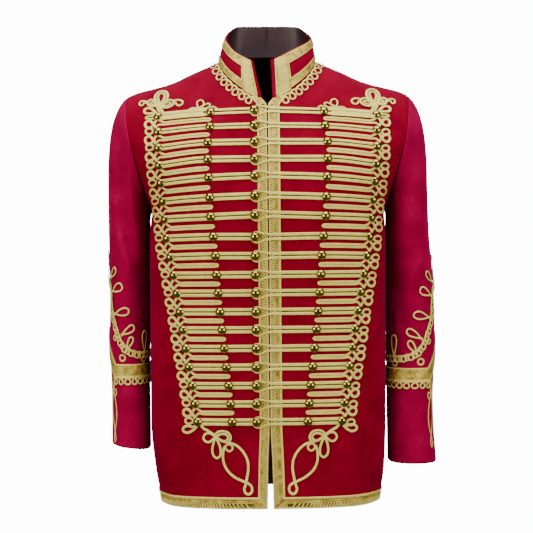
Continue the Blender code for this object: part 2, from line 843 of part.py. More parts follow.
def add_end_loop(plate, row):
    """The loop crosses to the other front, so its places have negative x."""
    z = bar_height(row, CENTRE_BUTTON_X)
    low, high = station(row, 0.0030)
    outline = [high, *[(-x, z + outside) for x, outside, _ in END_LOOP]]
    outline += [(-x, z - outside) for x, outside, _ in END_LOOP[::-1]] + [low]
    hole = [(-x, z + inside) for x, _, inside in END_LOOP[:2]]
    hole += [(-0.0262, z)]
    hole += [(-x, z - inside) for x, _, inside in END_LOOP[1::-1]]
    plate.cell(outline, hole)


def ring_chain(plate, rings):
    """Linked rings along a path. A ring is its centre, its half-length along the chain, and its
    half-widths on the two sides. Returns each ring's corners on the second side."""
    centres = [np.array(ring["centre"]) for ring in rings]
    links = []
    for a, b, ring, after in zip(centres, centres[1:], rings, rings[1:]):
        share = ring["long"] / (ring["long"] + after["long"])
        along = unit(b - a)
        across = np.array([-along[1], along[0]])
        links.append((a + (b - a) * share, across))
    first, last = unit(centres[1] - centres[0]), unit(centres[-1] - centres[-2])
    starts = [(centres[0] - first * rings[0]["long"], np.array([-first[1], first[0]]))]
    ends = [(centres[-1] + last * rings[-1]["long"], np.array([-last[1], last[0]]))]
    links = starts + links + ends
    sides = []
    for ring, centre, (start, start_across), (end, end_across) in zip(
        rings, centres, links, links[1:]
    ):
        along = unit(end - start)
        across = np.array([-along[1], along[0]])
        link, wide, long = ring["link"], ring["wide"], ring["long"]
        lean = along * long * 0.42
        left = [centre - lean + across * wide, centre + lean + across * wide]
        right = [centre + lean - across * wide, centre - lean - across * wide]
        if not ring.get("open", True):
            left = [(left[0] + left[1]) / 2] * 2
            right = [(right[0] + right[1]) / 2] * 2
        outline = [start + start_across * link, *left, end + end_across * link]
        outline += [end - end_across * link, *right, start - start_across * link]
        inside = max(wide - ring["strand"], 0.0012)
        within = max(long - ring["strand"], 0.0014)
        hole = [centre - along * within, centre + across * inside]
        hole += [centre + along * within, centre - across * inside]
        plate.cell(outline, hole if ring.get("open", True) else ())
        sides.append((left, right))
    return sides


def edge_rings(row_index):
    """The ring beside a button and the eyelet below it, on the outer side of the rows."""
    row = ROWS[row_index]
    small = {
        "centre": (row["x_outer"] + 0.0146, row["z_outer"]),
        "long": 0.0066,
        "wide": 0.0068,
        "link": 0.0020,
        "strand": 0.0038,
        "open": False,
    }
    if row_index + 1 == len(ROWS):
        low = (row["x_outer"] + 0.0125, row["z_outer"] - 0.0150)
        eyelet = dict(small, centre=low, long=0.0075, open=True)
        return [small, eyelet]
    after = ROWS[row_index + 1]
    middle = (row["x_outer"] + after["x_outer"]) / 2, (row["z_outer"] + after["z_outer"]) / 2
    eyelet = dict(small, centre=(middle[0] + 0.0160, middle[1]), long=0.0080, wide=0.0083, open=True)
    return [small, eyelet]


def tongue_level(upper, lower, x):
    return (bar_height(upper, x) + bar_height(lower, x)) / 2


def tongue_half(upper, lower, x):
    """Half-height of a tongue, which keeps clear of the bars above and below it."""
    room = bar_height(upper, x) - bar_half(upper, x) - bar_height(lower, x) - bar_half(lower, x)
    return min(TONGUE_HALF, room / 2 - 0.0016)


def make_edges(finish):
    """On each front: the chain of rings along the outer ends of the rows, with the tongues that
    run in from its eyelets."""
    for side in (RIGHT, LEFT):
        plate = Plate(on_front(side), seat=CHAIN_SEAT)
        rings = [ring for index in range(len(ROWS)) for ring in edge_rings(index)]
        sides = ring_chain(plate, rings)
        for index, (upper, lower) in enumerate(zip(ROWS, ROWS[1:])):
            inward = sides[2 * index + 1][1]
            root = (upper["x_outer"] + lower["x_outer"]) / 2 + 0.001
            tip = (upper["x_inner"] + lower["x_inner"]) / 2 - (0.003 if index > 4 else 0.0)
            stops = np.linspace(root, tip + 0.004, 4 if root - tip > 0.066 else 3)
            corners = []
            for x in stops:
                z, half = tongue_level(upper, lower, x), tongue_half(upper, lower, x)
                corners.append(((x, z + half), (x, z - half)))
            plate.cell([inward[1], inward[0], corners[0][1], corners[0][0]])
            for (a, b), (d, c) in zip(corners, corners[1:]):
                plate.cell([a, b, c, d])
            z, half = tongue_level(upper, lower, tip), tongue_half(upper, lower, tip)
            high, low = corners[-1]
            plate.cell([high, low, (tip, z - half * 0.45), (tip, z + half * 0.45)])
        plate.build(f"frog_edge_{SIDE_NAMES[side]}", finish)


def make_front_laces(finish):
    """Lace with its cord: down each front edge and round the hem to the side seam."""
    width = LACE + LACE_CORD
    top, corner = -0.0745, HEM_Z + 0.0010
    for side in (RIGHT, LEFT):
        rows = [row[0][2] for row in panel_grid(side, FRONT)[0]]
        levels = [top, -0.0845, *[z for z in rows[::-1] if corner + width < z < -0.088]]
        levels.append(corner + width)
        plate = Plate(on_front(side), seat=SEAT)
        edge = lambda z: FRONT_EDGE.at("x", z) + 0.0008
        pairs = [((edge(z), z), (edge(z) + width, z)) for z in levels]
        for (a, b), (d, c) in zip(pairs, pairs[1:]):
            plate.cell([a, b, c, d])
        inside = pairs[-1][1]
        low = (edge(corner), corner)
        plate.cell([pairs[-1][0], inside, (inside[0], corner), low])
        columns = [abs(point[0]) for point in panel_grid(side, FRONT)[0][0]]
        side_end = columns[-2] + 0.6 * (columns[-1] - columns[-2])
        stops = [inside[0], *columns[1:-1], side_end]
        for a, b in zip(stops, stops[1:]):
            plate.cell([(a, corner), (b, corner), (b, corner + width), (a, corner + width)])
        plate.build(f"front_lace_{SIDE_NAMES[side]}", finish)


def make_back_lace(finish):
    """The same lace along the hem of the back."""
    power = BODY_POWER[BACK]

    def place(angle, z, height):
        side = LEFT if angle >= 0 else RIGHT
        half, depth = half_width(side, 0.0, z), body_depth(BACK, z)
        x = half * math.sin(abs(angle)) ** (2 / power)
        y = depth * math.cos(angle) ** (2 / power)
        point = np.array([x, y, z])
        moved = point + body_normal(side, BACK, point) * height
        return np.array([side * moved[0], moved[1] + SEAM / 2, moved[2]])

    plate = Plate(place)
    low, high = HEM_Z + 0.0010, HEM_Z + 0.0010 + LACE + LACE_CORD
    half = [math.radians(90 * u) for u in (0.0, 0.11, 0.20, 0.30, 0.41, 0.56, 0.71, 0.86, 0.95)]
    angles = [-angle for angle in half[:0:-1]] + half
    for a, b in zip(angles, angles[1:]):
        plate.cell([(a, low), (b, low), (b, high), (a, high)])
    plate.build("hem_lace_back", finish)


def make_collar_lace(finish):
    """Lace frame on the collar: bands along its top and bottom, joined at both front edges."""
    plate = Plate(on_collar(), seat=SEAT + SEAM)
    bottom, lower, upper, top = 0.07, 0.28, 0.64, 0.955
    edge, inside = 0.985, 0.905
    turns = [-edge, -inside, *[t for t in COLLAR_TURNS if abs(t) < inside - 0.02], inside, edge]
    for a, b in zip(turns, turns[1:]):
        plate.cell([(a, bottom), (b, bottom), (b, lower), (a, lower)])
        plate.cell([(a, upper), (b, upper), (b, top), (a, top)])
        if abs(a) >= inside and abs(b) >= inside:
            plate.cell([(a, lower), (b, lower), (b, upper), (a, upper)])
    plate.build("collar_lace", finish)


def make_neck_loops(finish):
    """A chain of small rings below the collar on each front."""
    count, drop = 9, 0.0092
    for side in (RIGHT, LEFT):
        plate = Plate(on_front(side), seat=BAR_SEAT)
        path = []
        for k in range(60):
            turn = 0.965 - 0.445 * k / 59
            x = 0.0095 + (NECK_SIDE - 0.0095) * math.sin((1 - turn) * math.pi)
            path.append(np.array([x, NECK_FRONT.at("z", x)]))
        path = np.array(path)
        along = np.gradient(path, axis=0)
        along /= np.linalg.norm(along, axis=1)[:, None]
        path += np.stack([along[:, 1], -along[:, 0]], axis=1) * drop
        length = np.concatenate([[0], np.cumsum(np.linalg.norm(np.diff(path, axis=0), axis=1))])
        spots = np.linspace(0.013, length[-1] - 0.009, count)
        rings = [
            {
                "centre": (np.interp(s, length, path[:, 0]), np.interp(s, length, path[:, 1])),
                "long": 0.0052,
                "wide": 0.0064,
                "link": 0.0018,
                "strand": 0.0028,
            }
            for s in spots
        ]
        ring_chain(plate, rings)
        plate.build(f"neck_loops_{SIDE_NAMES[side]}", finish)


def petal(plate, root_a, root_b, tip, wide, strand):
    """A looped petal that leaves the edge from root_a to root_b and rounds off at its tip."""
    root_a, root_b, tip = (np.array(spot) for spot in (root_a, root_b, tip))
    root = (root_a + root_b) / 2
    along = unit(tip - root)
    across = np.array([-along[1], along[0]])
    if np.dot(across, root_a - root) < 0:
        across = -across
    length = np.linalg.norm(tip - root)
    outline = [root_a, root + along * length * 0.55 + across * wide]
    outline += [root + along * length * 0.90 + across * wide * 0.72]
    outline += [tip + across * wide * 0.25, tip - across * wide * 0.25]
    outline += [root + along * length * 0.90 - across * wide * 0.72]
    outline += [root + along * length * 0.55 - across * wide, root_b]
    inside = wide - strand
    hole = [root + along * min(length * 0.32, 0.008), root + along * length * 0.62 + across * inside]
    hole += [tip - along * strand, root + along * length * 0.62 - across * inside]
    plate.cell(outline, hole)


def make_shoulder_knots(finish):
    """Trefoil above the first outer button of each front, with a curl at both sides."""
    for side in (RIGHT, LEFT):
        plate = Plate(on_front(side), seat=SEAT + 0.0002)
        x, z = 0.1725, -0.0835
        hub = [(x - 0.003, z - 0.0035), (x + 0.003, z - 0.0035)]
        hub += [(x + 0.0055, z + 0.002), (x + 0.0028, z + 0.006)]
        hub += [(x - 0.0028, z + 0.006), (x - 0.0055, z + 0.002)]
        plate.cell(hub)
        petal(plate, hub[3], hub[4], (x + 0.0005, z + 0.0350), 0.0115, 0.0075)
        petal(plate, hub[5], hub[0], (x - 0.0265, z + 0.0045), 0.0070, 0.0050)
        petal(plate, hub[1], hub[2], (x + 0.0265, z + 0.0045), 0.0070, 0.0050)
        plate.build(f"shoulder_knot_{SIDE_NAMES[side]}", finish)


def make_chest_knots(finish):
    """Small trefoil on the first bar, just outside its inner button."""
    row = ROWS[0]
    for side in (RIGHT, LEFT):
        plate = Plate(on_front(side), seat=SEAT + 0.0002)
        x, z = 0.1050, row["z_inner"] + 0.0100
        hub = [(x - 0.012, z), (x + 0.010, z - 0.0010), (x + 0.0060, z + 0.0040)]
        hub += [(x - 0.0020, z + 0.0058), (x - 0.0090, z + 0.0050)]
        plate.cell(hub)
        petal(plate, hub[1], hub[2], (x + 0.0230, z + 0.0045), 0.0042, 0.0025)
        petal(plate, hub[2], hub[3], (x + 0.0085, z + 0.0215), 0.0062, 0.0030)
        petal(plate, hub[3], hub[4], (x - 0.0080, z + 0.0160), 0.0040, 0.0026)
        plate.build(f"chest_knot_{SIDE_NAMES[side]}", finish)


def ribbon(plate, path, half, start=None):
    """A single cord along a path, as cells. It starts on an edge that is already there."""
    path = [np.array(spot) for spot in path]
    before = start
    for index, spot in enumerate(path):
        ahead = path[min(index + 1, len(path) - 1)] - path[max(index - 1, 0)]
        across = np.array([-ahead[1], ahead[0]]) / np.linalg.norm(ahead) * half
        edge = (spot + across, spot - across)
        if before is not None:
            if np.dot(np.subtract(before[0], before[1]), across) < 0:
                before = before[::-1]
            plate.cell([before[0], before[1], edge[1], edge[0]])
        before = edge
    return before


def make_skirt_knots(finish):
    """Knot that drops from the last outer button towards the corner of each front."""
    half = 0.0027
    for side in (RIGHT, LEFT):
        plate = Plate(on_front(side), seat=SEAT + 0.0002)
        stem = ribbon(plate, [(0.1045, -0.6032), (0.0905, -0.6120)], half)
        hub = [*stem, (0.0800, -0.6125), (0.0755, -0.6190), (0.0820, -0.6230)]
        hub += [(0.0885, -0.6220)]
        plate.cell(hub)
        petal(plate, hub[5], hub[0], (0.1035, -0.6185), 0.0065, 0.0038)
        petal(plate, hub[4], hub[5], (0.0830, -0.6520), 0.0078, 0.0040)
        petal(plate, hub[1], hub[2], (0.0655, -0.6060), 0.0075, 0.0042)
        bridge = ribbon(plate, [(0.0690, -0.6245), (0.0600, -0.6270)], half, (hub[2], hub[3]))
        outer = [(0.0485, -0.6370), (0.0400, -0.6520), (0.0365, -0.6680), (0.0370, -0.6810)]
        low = ribbon(plate, outer, half, bridge)
        tail = [*low, (0.0330, -0.6870), (0.0310, -0.6940), (0.0340, -0.7000)]
        tail += [(0.0390, -0.7005), (0.0430, -0.6960), (0.0425, -0.6895)]
        plate.cell(tail, [(0.0395, -0.6870), (0.0355, -0.6915), (0.0375, -0.6965), (0.0400, -0.6920)])
        leaf = [(0.0560, -0.6790), (0.0690, -0.6660), (0.0740, -0.6500), (0.0735, -0.6400)]
        ribbon(plate, leaf, half, (tail[7], tail[0]))
        plate.build(f"skirt_knot_{SIDE_NAMES[side]}", finish)


CUFF_BAND = {RIGHT: -0.5253, LEFT: -0.5358}  # lower edge of the lace round each sleeve
CUFF_LACE = 0.0205
CUFF_CORNER = 0.13  # turn at which the lace leaves the level band for its point
CUFF_MITRE = 0.158  # the same along the upper edge of the lace
CUFF_PEAK = 0.048
CUFF_PEAK_TOP = 0.0793
CUFF_GIRTH = 0.335
CUFF_LOBES = 20
CUFF_ARM = (0.0, 0.24, 0.40, 0.64, 0.80, 0.93)  # stations of a rising arm, as shares
CUFF_PETALS = (4, 8, 11, 15)  # lobes whose upper side carries a petal


def loop_petal(plate, root_a, root_b, tip, wide, strand):
    """A plainer looped petal on the edge from root_a to root_b."""
    root_a, root_b, tip = (np.array(spot) for spot in (root_a, root_b, tip))
    root = (root_a + root_b) / 2
    along = tip - root
    across = unit(np.array([-along[1], along[0]])) * wide
    if np.dot(across, root_a - root) < 0:
        across = -across
    outline = [root_a, root + along * 0.62 + across, tip + across * 0.5]
    outline += [tip - across * 0.5, root + along * 0.62 - across, root_b]
    inside = 1 - strand / wide
    hole = [root + along * 0.25, root + along * 0.60 + across * inside]
    hole += [tip - unit(along) * strand, root + along * 0.60 - across * inside]
    plate.cell(outline, hole)


def make_cuffs(finish):
    """Lace round each sleeve that rises to a point outside, with lobes below and petals above."""
    for side in (RIGHT, LEFT):
        drop = SLEEVE_BOTTOM[side] - SLEEVE_TOP
        low = CUFF_BAND[side]
        high = low + CUFF_LACE

        def place(along, z, height):
            turn, v = along / CUFF_GIRTH, 1 + (z - SLEEVE_TOP) / drop
            return sleeve_point(side, turn, v) + sleeve_normal(side, turn, v) * height

        plate = Plate(place, seat=CHAIN_SEAT, girth=CUFF_GIRTH)
        lower = np.linspace(CUFF_CORNER, 1 - CUFF_CORNER, CUFF_LOBES + 1) * CUFF_GIRTH
        upper = np.linspace(CUFF_MITRE, 1 - CUFF_MITRE, CUFF_LOBES + 1) * CUFF_GIRTH
        for k, (a, b, c, d) in enumerate(zip(lower, lower[1:], upper[1:], upper)):
            plate.cell([(a, low), (b, low), (c, high), (d, high)])
            pitch = b - a
            lobe = [(b - pitch * 0.16, low - 0.0105), (a + pitch * 0.16, low - 0.0105)]
            plate.cell([(b, low), (a, low), *lobe[::-1]])
            if k in CUFF_PETALS:
                loop_petal(plate, (d, high), (c, high), ((c + d) / 2, high + 0.036), 0.0065, 0.003)
        for way in (1, -1):
            stations = []
            for share in CUFF_ARM:
                left = 1 - share
                under = (way * CUFF_CORNER * CUFF_GIRTH * left, low + CUFF_PEAK * share)
                over = high + (CUFF_PEAK_TOP - CUFF_LACE) * share
                stations.append((under, (way * CUFF_MITRE * CUFF_GIRTH * left, over)))
            for index, (a, b) in enumerate(zip(stations, stations[1:])):
                plate.cell([a[0], b[0], b[1], a[1]])
                if index in (1, 3):
                    middle = (np.array(a[1]) + b[1]) / 2
                    tip = middle + np.array([way * 0.024, 0.020])
                    loop_petal(plate, a[1], b[1], tip, 0.0065, 0.003)
            if way == 1:
                front_end = stations[-1]
        back_end = stations[-1]
        plate.cell([front_end[0], back_end[0], back_end[1], front_end[1]])
        tip = (0.0, high + CUFF_PEAK_TOP - CUFF_LACE + 0.046)
        loop_petal(plate, front_end[1], back_end[1], tip, 0.0085, 0.003)
        plate.build(f"cuff_braid_{SIDE_NAMES[side]}", finish)


def main():
    for item in list(bpy.data.objects):
        bpy.data.objects.remove(item)
    wool = material("crimson wool broadcloth", (0.32, 0.005, 0.018), 0.85)
    soutache = material("pale gold soutache", (0.66, 0.54, 0.16), 0.55, 0.3)
    lace = material("gold twill lace", (0.52, 0.38, 0.08), 0.5, 0.4)
    make_fronts(wool)
    make_back(wool)
    make_sleeves(wool)
    make_collar(wool)
    make_front_laces(lace)
    make_back_lace(lace)
    make_collar_lace(lace)
    make_neck_loops(soutache)
    make_frogs(soutache)
    make_edges(soutache)
    make_shoulder_knots(soutache)
    make_chest_knots(soutache)
    make_skirt_knots(soutache)
    make_cuffs(lace)


main()
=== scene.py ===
"""Looks of a hussar jacket in its worn, hollow form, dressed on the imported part.

Metres, +Z up, front towards -Y, wearer's left towards +X. The sizes below are those of the part, so
the cloth, the lace and every cord lie on the same surfaces as its solids.
"""

import json
import math

import bmesh
import bpy
import numpy as np
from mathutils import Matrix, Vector

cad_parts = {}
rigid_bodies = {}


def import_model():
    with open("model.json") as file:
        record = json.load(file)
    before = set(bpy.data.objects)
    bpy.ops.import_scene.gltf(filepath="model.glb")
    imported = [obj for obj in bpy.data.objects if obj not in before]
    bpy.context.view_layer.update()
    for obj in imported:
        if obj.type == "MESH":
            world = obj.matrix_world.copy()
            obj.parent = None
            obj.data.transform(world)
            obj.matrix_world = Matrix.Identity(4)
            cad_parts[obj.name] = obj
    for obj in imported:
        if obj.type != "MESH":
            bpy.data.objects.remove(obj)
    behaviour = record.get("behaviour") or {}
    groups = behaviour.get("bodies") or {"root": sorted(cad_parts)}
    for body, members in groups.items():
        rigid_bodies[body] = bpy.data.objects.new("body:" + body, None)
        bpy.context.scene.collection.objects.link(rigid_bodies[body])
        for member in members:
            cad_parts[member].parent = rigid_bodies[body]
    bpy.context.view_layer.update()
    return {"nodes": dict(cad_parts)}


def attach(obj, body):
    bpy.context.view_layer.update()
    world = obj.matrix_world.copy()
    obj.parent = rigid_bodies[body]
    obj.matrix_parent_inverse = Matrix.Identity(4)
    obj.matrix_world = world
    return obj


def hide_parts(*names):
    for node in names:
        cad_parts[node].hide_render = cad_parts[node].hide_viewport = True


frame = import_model()

RIGHT = -1
LEFT = 1
FRONT = -1
BACK = 1
SIDE_NAMES = {RIGHT: "right", LEFT: "left"}

CLOTH = 0.0024  # faced wool with its lining
SEAM = 0.0003
SHOULDER_TIP = 0.237
NECK_SIDE = 0.0805  # half-width of the neck at the shoulder seams
UNDERARM_Z = -0.250
HEM_Z = -0.733
SHOULDER_POWER = 2.2  # roundness of the wall as it runs up to the shoulder seam
BODY_POWER = {FRONT: 2.9, BACK: 2.3}  # squareness of the body's cross-section


class Table:
    """Rows with named columns. A column is read smoothly between rows, by the first column."""

    def __init__(self, columns, rows):
        names = columns.split()
        values = np.array(sorted(rows), float).T
        self.columns = dict(zip(names, values))
        self.keys = values[0]
        self.slopes = {name: self.slope_of(column) for name, column in self.columns.items()}

    def slope_of(self, values):
        rates = np.diff(values) / np.diff(self.keys)
        inner = [0.0 if a * b <= 0 else 2 * a * b / (a + b) for a, b in zip(rates, rates[1:])]
        return np.array([rates[0], *inner, rates[-1]])

    def at(self, name, key):
        keys, values, slopes = self.keys, self.columns[name], self.slopes[name]
        key = np.clip(key, keys[0], keys[-1])
        i = np.clip(np.searchsorted(keys, key) - 1, 0, len(keys) - 2)
        step = keys[i + 1] - keys[i]
        t = (key - keys[i]) / step
        return (
            (1 + 2 * t) * (1 - t) ** 2 * values[i]
            + t * (1 - t) ** 2 * step * slopes[i]
            + t * t * (3 - 2 * t) * values[i + 1]
            - t * t * (1 - t) * step * slopes[i + 1]
        )


# Girth of the body at each height: half-width on either side, depth before and behind the seams.
BODY = Table(
    "z right left front back",
    [
        (-0.735, 0.1835, 0.1830, 0.122, 0.127),
        (-0.680, 0.1925, 0.1910, 0.119, 0.123),
        (-0.600, 0.1990, 0.1940, 0.118, 0.117),
        (-0.500, 0.1990, 0.1945, 0.119, 0.106),
        (-0.420, 0.1990, 0.1950, 0.121, 0.101),
        (-0.330, 0.1988, 0.1960, 0.127, 0.107),
        (-0.270, 0.1970, 0.1955, 0.130, 0.115),
        (-0.250, 0.1950, 0.1950, 0.131, 0.118),
        (-0.150, 0.1950, 0.1950, 0.126, 0.122),
        (-0.080, 0.1950, 0.1950, 0.114, 0.120),
        (0.035, 0.1950, 0.1950, 0.096, 0.116),
    ],
)

# Above the underarm, by the share of the way up to the shoulder seam: how far the body's curve
# would reach sideways, and where the armhole cuts it.
CHEST = Table(
    "share reach armhole",
    [
        (0.000, 0.1950, 0.1950),
        (0.060, 0.1985, 0.1980),
        (0.120, 0.2035, 0.2018),
        (0.183, 0.2105, 0.2050),
        (0.393, 0.2370, 0.2170),
        (0.733, 0.2803, 0.2310),
        (1.000, 0.3000, SHOULDER_TIP),
    ],
)

# Height of the shoulder seam, carried on over the neck opening as the surface would run.
SHOULDER = Table(
    "x z",
    [
        (0.000, 0.0350),
        (0.040, 0.0270),
        (0.081, 0.0000),
        (0.100, -0.0085),
        (0.128, -0.0205),
        (0.150, -0.0312),
        (0.170, -0.0385),
        (0.195, -0.0450),
        (0.220, -0.0515),
        (0.237, -0.0590),
        (0.280, -0.0800),
    ],
)

NECK_FRONT = Table(
    "x z",
    [
        (0.0095, -0.0720),
        (0.0234, -0.0670),
        (0.0380, -0.0580),
        (0.0525, -0.0460),
        (0.0672, -0.0295),
        (0.0765, -0.0125),
        (NECK_SIDE, 0.0),
    ],
)
NECK_BACK = Table(
    "x z",
    [(0.0, 0.0155), (0.035, 0.0140), (0.060, 0.0090), (0.074, 0.0040), (NECK_SIDE, 0.0)],
)

# Distance of each front edge from the centre: a V under the collar, closed down to the last
# loop, then open to the hem.
FRONT_EDGE = Table(
    "z x",
    [
        (-0.735, 0.0046),
        (-0.660, 0.0027),
        (-0.600, 0.0004),
        (-0.0845, 0.0004),
        (-0.0720, 0.0095),
    ],
)

# Sections of each sleeve below the cap: height, drop of the inner side, reach towards and away
# from the body, and centre and half of its depth.
SLEEVE = {
    RIGHT: Table(
        "z tilt inner outer middle depth",
        [
            (-0.2500, 0.045, 0.2003, 0.2695, 0.012, 0.074),
            (-0.3050, 0.022, 0.2006, 0.2695, 0.014, 0.074),
            (-0.3500, 0.012, 0.2006, 0.2690, 0.017, 0.072),
            (-0.3950, 0.006, 0.2006, 0.2690, 0.019, 0.070),
            (-0.4650, 0.000, 0.2025, 0.2700, 0.016, 0.066),
            (-0.5100, 0.000, 0.2030, 0.2680, 0.012, 0.063),
            (-0.5600, 0.000, 0.2024, 0.2660, 0.006, 0.059),
            (-0.6425, 0.005, 0.2006, 0.2650, -0.004, 0.054),
        ],
    ),
    LEFT: Table(
        "z tilt inner outer middle depth",
        [
            (-0.2500, 0.045, 0.1985, 0.2690, 0.012, 0.074),
            (-0.3050, 0.022, 0.1985, 0.2710, 0.014, 0.074),
            (-0.3500, 0.012, 0.1985, 0.2755, 0.017, 0.072),
            (-0.3900, 0.006, 0.1985, 0.2790, 0.019, 0.070),
            (-0.4300, 0.003, 0.1985, 0.2805, 0.018, 0.068),
            (-0.4700, 0.000, 0.1985, 0.2803, 0.016, 0.066),
            (-0.5250, 0.000, 0.1985, 0.2775, 0.011, 0.063),
            (-0.5700, 0.000, 0.1980, 0.2752, 0.006, 0.059),
            (-0.6100, 0.000, 0.1977, 0.2755, 0.001, 0.056),
            (-0.6720, 0.000, 0.1977, 0.2790, -0.005, 0.054),
        ],
    ),
}
SLEEVE_BOTTOM = {RIGHT: -0.6425, LEFT: -0.672}
SLEEVE_TOP = -0.250
SLEEVE_SQUARE = 0.88
SLEEVE_GIRTH = 0.34  # the creases of a sleeve are placed along this girth

# Creases of the sleeves: turn (0 outside, 0.25 front, 0.5 inside, 0.75 back) and height of both
# ends, depth (a ridge is negative) and half-width.
CREASES = {
    RIGHT: [
        (0.16, -0.215, 0.40, -0.375, 0.0075, 0.018),
        (0.90, -0.270, 0.66, -0.360, 0.0050, 0.017),
        (0.30, -0.330, 0.18, -0.400, -0.0030, 0.016),
        (0.30, -0.250, 0.44, -0.330, -0.0022, 0.008),
        (0.26, -0.300, 0.38, -0.400, 0.0022, 0.007),
        (0.10, -0.300, 0.22, -0.345, 0.0012, 0.009),
        (0.32, -0.420, 0.46, -0.460, 0.0016, 0.008),
        (0.20, -0.570, 0.34, -0.620, 0.0010, 0.011),
        (0.58, -0.300, 0.74, -0.390, -0.0028, 0.010),
        (0.62, -0.420, 0.84, -0.445, 0.0030, 0.011),
        (0.70, -0.230, 0.88, -0.210, 0.0018, 0.012),
        (0.66, -0.520, 0.80, -0.600, 0.0016, 0.012),
    ],
    LEFT: [
        (0.42, -0.320, 0.32, -0.435, 0.0065, 0.017),
        (0.22, -0.350, 0.40, -0.460, -0.0035, 0.016),
        (0.62, -0.330, 0.85, -0.410, 0.0050, 0.017),
        (0.43, -0.260, 0.40, -0.330, 0.0030, 0.009),
        (0.33, -0.300, 0.20, -0.340, -0.0012, 0.011),
        (0.40, -0.440, 0.34, -0.510, 0.0022, 0.008),
        (0.28, -0.575, 0.36, -0.660, 0.0020, 0.010),
        (0.20, -0.590, 0.22, -0.665, -0.0012, 0.013),
        (0.58, -0.280, 0.72, -0.330, -0.0024, 0.010),
        (0.66, -0.430, 0.88, -0.470, 0.0028, 0.011),
        (0.72, -0.220, 0.86, -0.200, 0.0016, 0.012),
        (0.60, -0.540, 0.74, -0.610, 0.0018, 0.012),
    ],
}

# Shallow creases of the body: x outwards and height of both ends, depth and half-width.
BODY_CREASES = {
    (RIGHT, FRONT): [
        (0.192, -0.262, 0.150, -0.345, 0.0012, 0.011),
        (0.168, -0.560, 0.180, -0.725, 0.0022, 0.015),
        (0.135, -0.610, 0.150, -0.735, -0.0014, 0.016),
        (0.060, -0.650, 0.105, -0.735, 0.0012, 0.014),
    ],
    (LEFT, FRONT): [
        (0.190, -0.262, 0.155, -0.330, 0.0014, 0.011),
        (0.160, -0.540, 0.172, -0.725, 0.0024, 0.016),
        (0.120, -0.640, 0.130, -0.735, -0.0012, 0.014),
        (0.050, -0.660, 0.080, -0.735, 0.0012, 0.013),
    ],
    (RIGHT, BACK): [
        (0.030, -0.455, 0.140, -0.415, 0.0034, 0.015),
        (0.060, -0.490, 0.165, -0.510, 0.0028, 0.016),
        (0.050, -0.130, 0.150, -0.215, 0.0026, 0.018),
        (0.062, -0.560, 0.075, -0.735, 0.0040, 0.020),
        (0.130, -0.590, 0.122, -0.735, -0.0030, 0.021),
        (0.000, -0.345, 0.110, -0.380, -0.0018, 0.016),
    ],
    (LEFT, BACK): [
        (0.020, -0.430, 0.120, -0.395, 0.0030, 0.014),
        (0.045, -0.505, 0.150, -0.480, 0.0030, 0.017),
        (0.060, -0.120, 0.155, -0.235, 0.0022, 0.017),
        (0.048, -0.580, 0.070, -0.735, 0.0036, 0.019),
        (0.120, -0.560, 0.135, -0.735, -0.0032, 0.022),
        (0.010, -0.300, 0.120, -0.330, -0.0016, 0.015),
    ],
}

# Top edge of the collar, by turn from the middle of the back (0) to the front tip (1).
COLLAR_TOP = {
    RIGHT: Table(
        "turn x y z",
        [
            (0.00, 0.0000, 0.0440, 0.0680),
            (0.25, 0.0480, 0.0310, 0.0660),
            (0.40, 0.0650, 0.0090, 0.0520),
            (0.50, 0.0690, -0.0080, 0.0400),
            (0.62, 0.0630, -0.0300, 0.0260),
            (0.78, 0.0510, -0.0510, 0.0105),
            (1.00, 0.0235, -0.0680, -0.0070),
        ],
    ),
    LEFT: Table(
        "turn x y z",
        [
            (0.00, 0.0000, 0.0440, 0.0680),
            (0.25, 0.0490, 0.0310, 0.0650),
            (0.40, 0.0680, 0.0090, 0.0510),
            (0.50, 0.0745, -0.0080, 0.0390),
            (0.62, 0.0665, -0.0300, 0.0285),
            (0.78, 0.0480, -0.0500, 0.0165),
            (1.00, 0.0065, -0.0700, -0.0065),
        ],
    ),
}

# The braided rows: heights at the centre, inner and outer buttons, distances of those buttons,
# and half-heights of the bar nearer to and farther from the centre.
ROW_COLUMNS = "z_centre z_inner z_outer x_inner x_outer near far".split()
ROWS = [
    dict(zip(ROW_COLUMNS, row))
    for row in (
        (-0.0925, -0.0945, -0.0994, 0.0917, 0.1780, 0.0060, 0.0080),
        (-0.1183, -0.1193, -0.1254, 0.0927, 0.1775, 0.0053, 0.0051),
        (-0.1455, -0.1456, -0.1521, 0.0959, 0.1765, 0.0060, 0.0056),
        (-0.1729, -0.1730, -0.1804, 0.0959, 0.1750, 0.0061, 0.0060),
        (-0.1995, -0.2025, -0.2085, 0.0945, 0.1726, 0.0063, 0.0062),
        (-0.2314, -0.2343, -0.2380, 0.0928, 0.1695, 0.0063, 0.0063),
        (-0.2618, -0.2649, -0.2672, 0.0917, 0.1665, 0.0065, 0.0065),
        (-0.2976, -0.2967, -0.2981, 0.0879, 0.1638, 0.0065, 0.0065),
        (-0.3278, -0.3273, -0.3286, 0.0847, 0.1590, 0.0065, 0.0065),
        (-0.3578, -0.3578, -0.3578, 0.0833, 0.1530, 0.0065, 0.0065),
        (-0.3869, -0.3869, -0.3869, 0.0810, 0.1480, 0.0065, 0.0065),
        (-0.4169, -0.4169, -0.4169, 0.0785, 0.1430, 0.0065, 0.0065),
        (-0.4459, -0.4459, -0.4459, 0.0755, 0.1385, 0.0065, 0.0065),
        (-0.4757, -0.4757, -0.4757, 0.0722, 0.1340, 0.0065, 0.0065),
        (-0.5056, -0.5056, -0.5056, 0.0690, 0.1290, 0.0065, 0.0065),
        (-0.5353, -0.5353, -0.5353, 0.0657, 0.1240, 0.0065, 0.0065),
        (-0.5646, -0.5646, -0.5646, 0.0630, 0.1200, 0.0065, 0.0065),
        (-0.5935, -0.5935, -0.5935, 0.0606, 0.1157, 0.0065, 0.0065),
    )
]
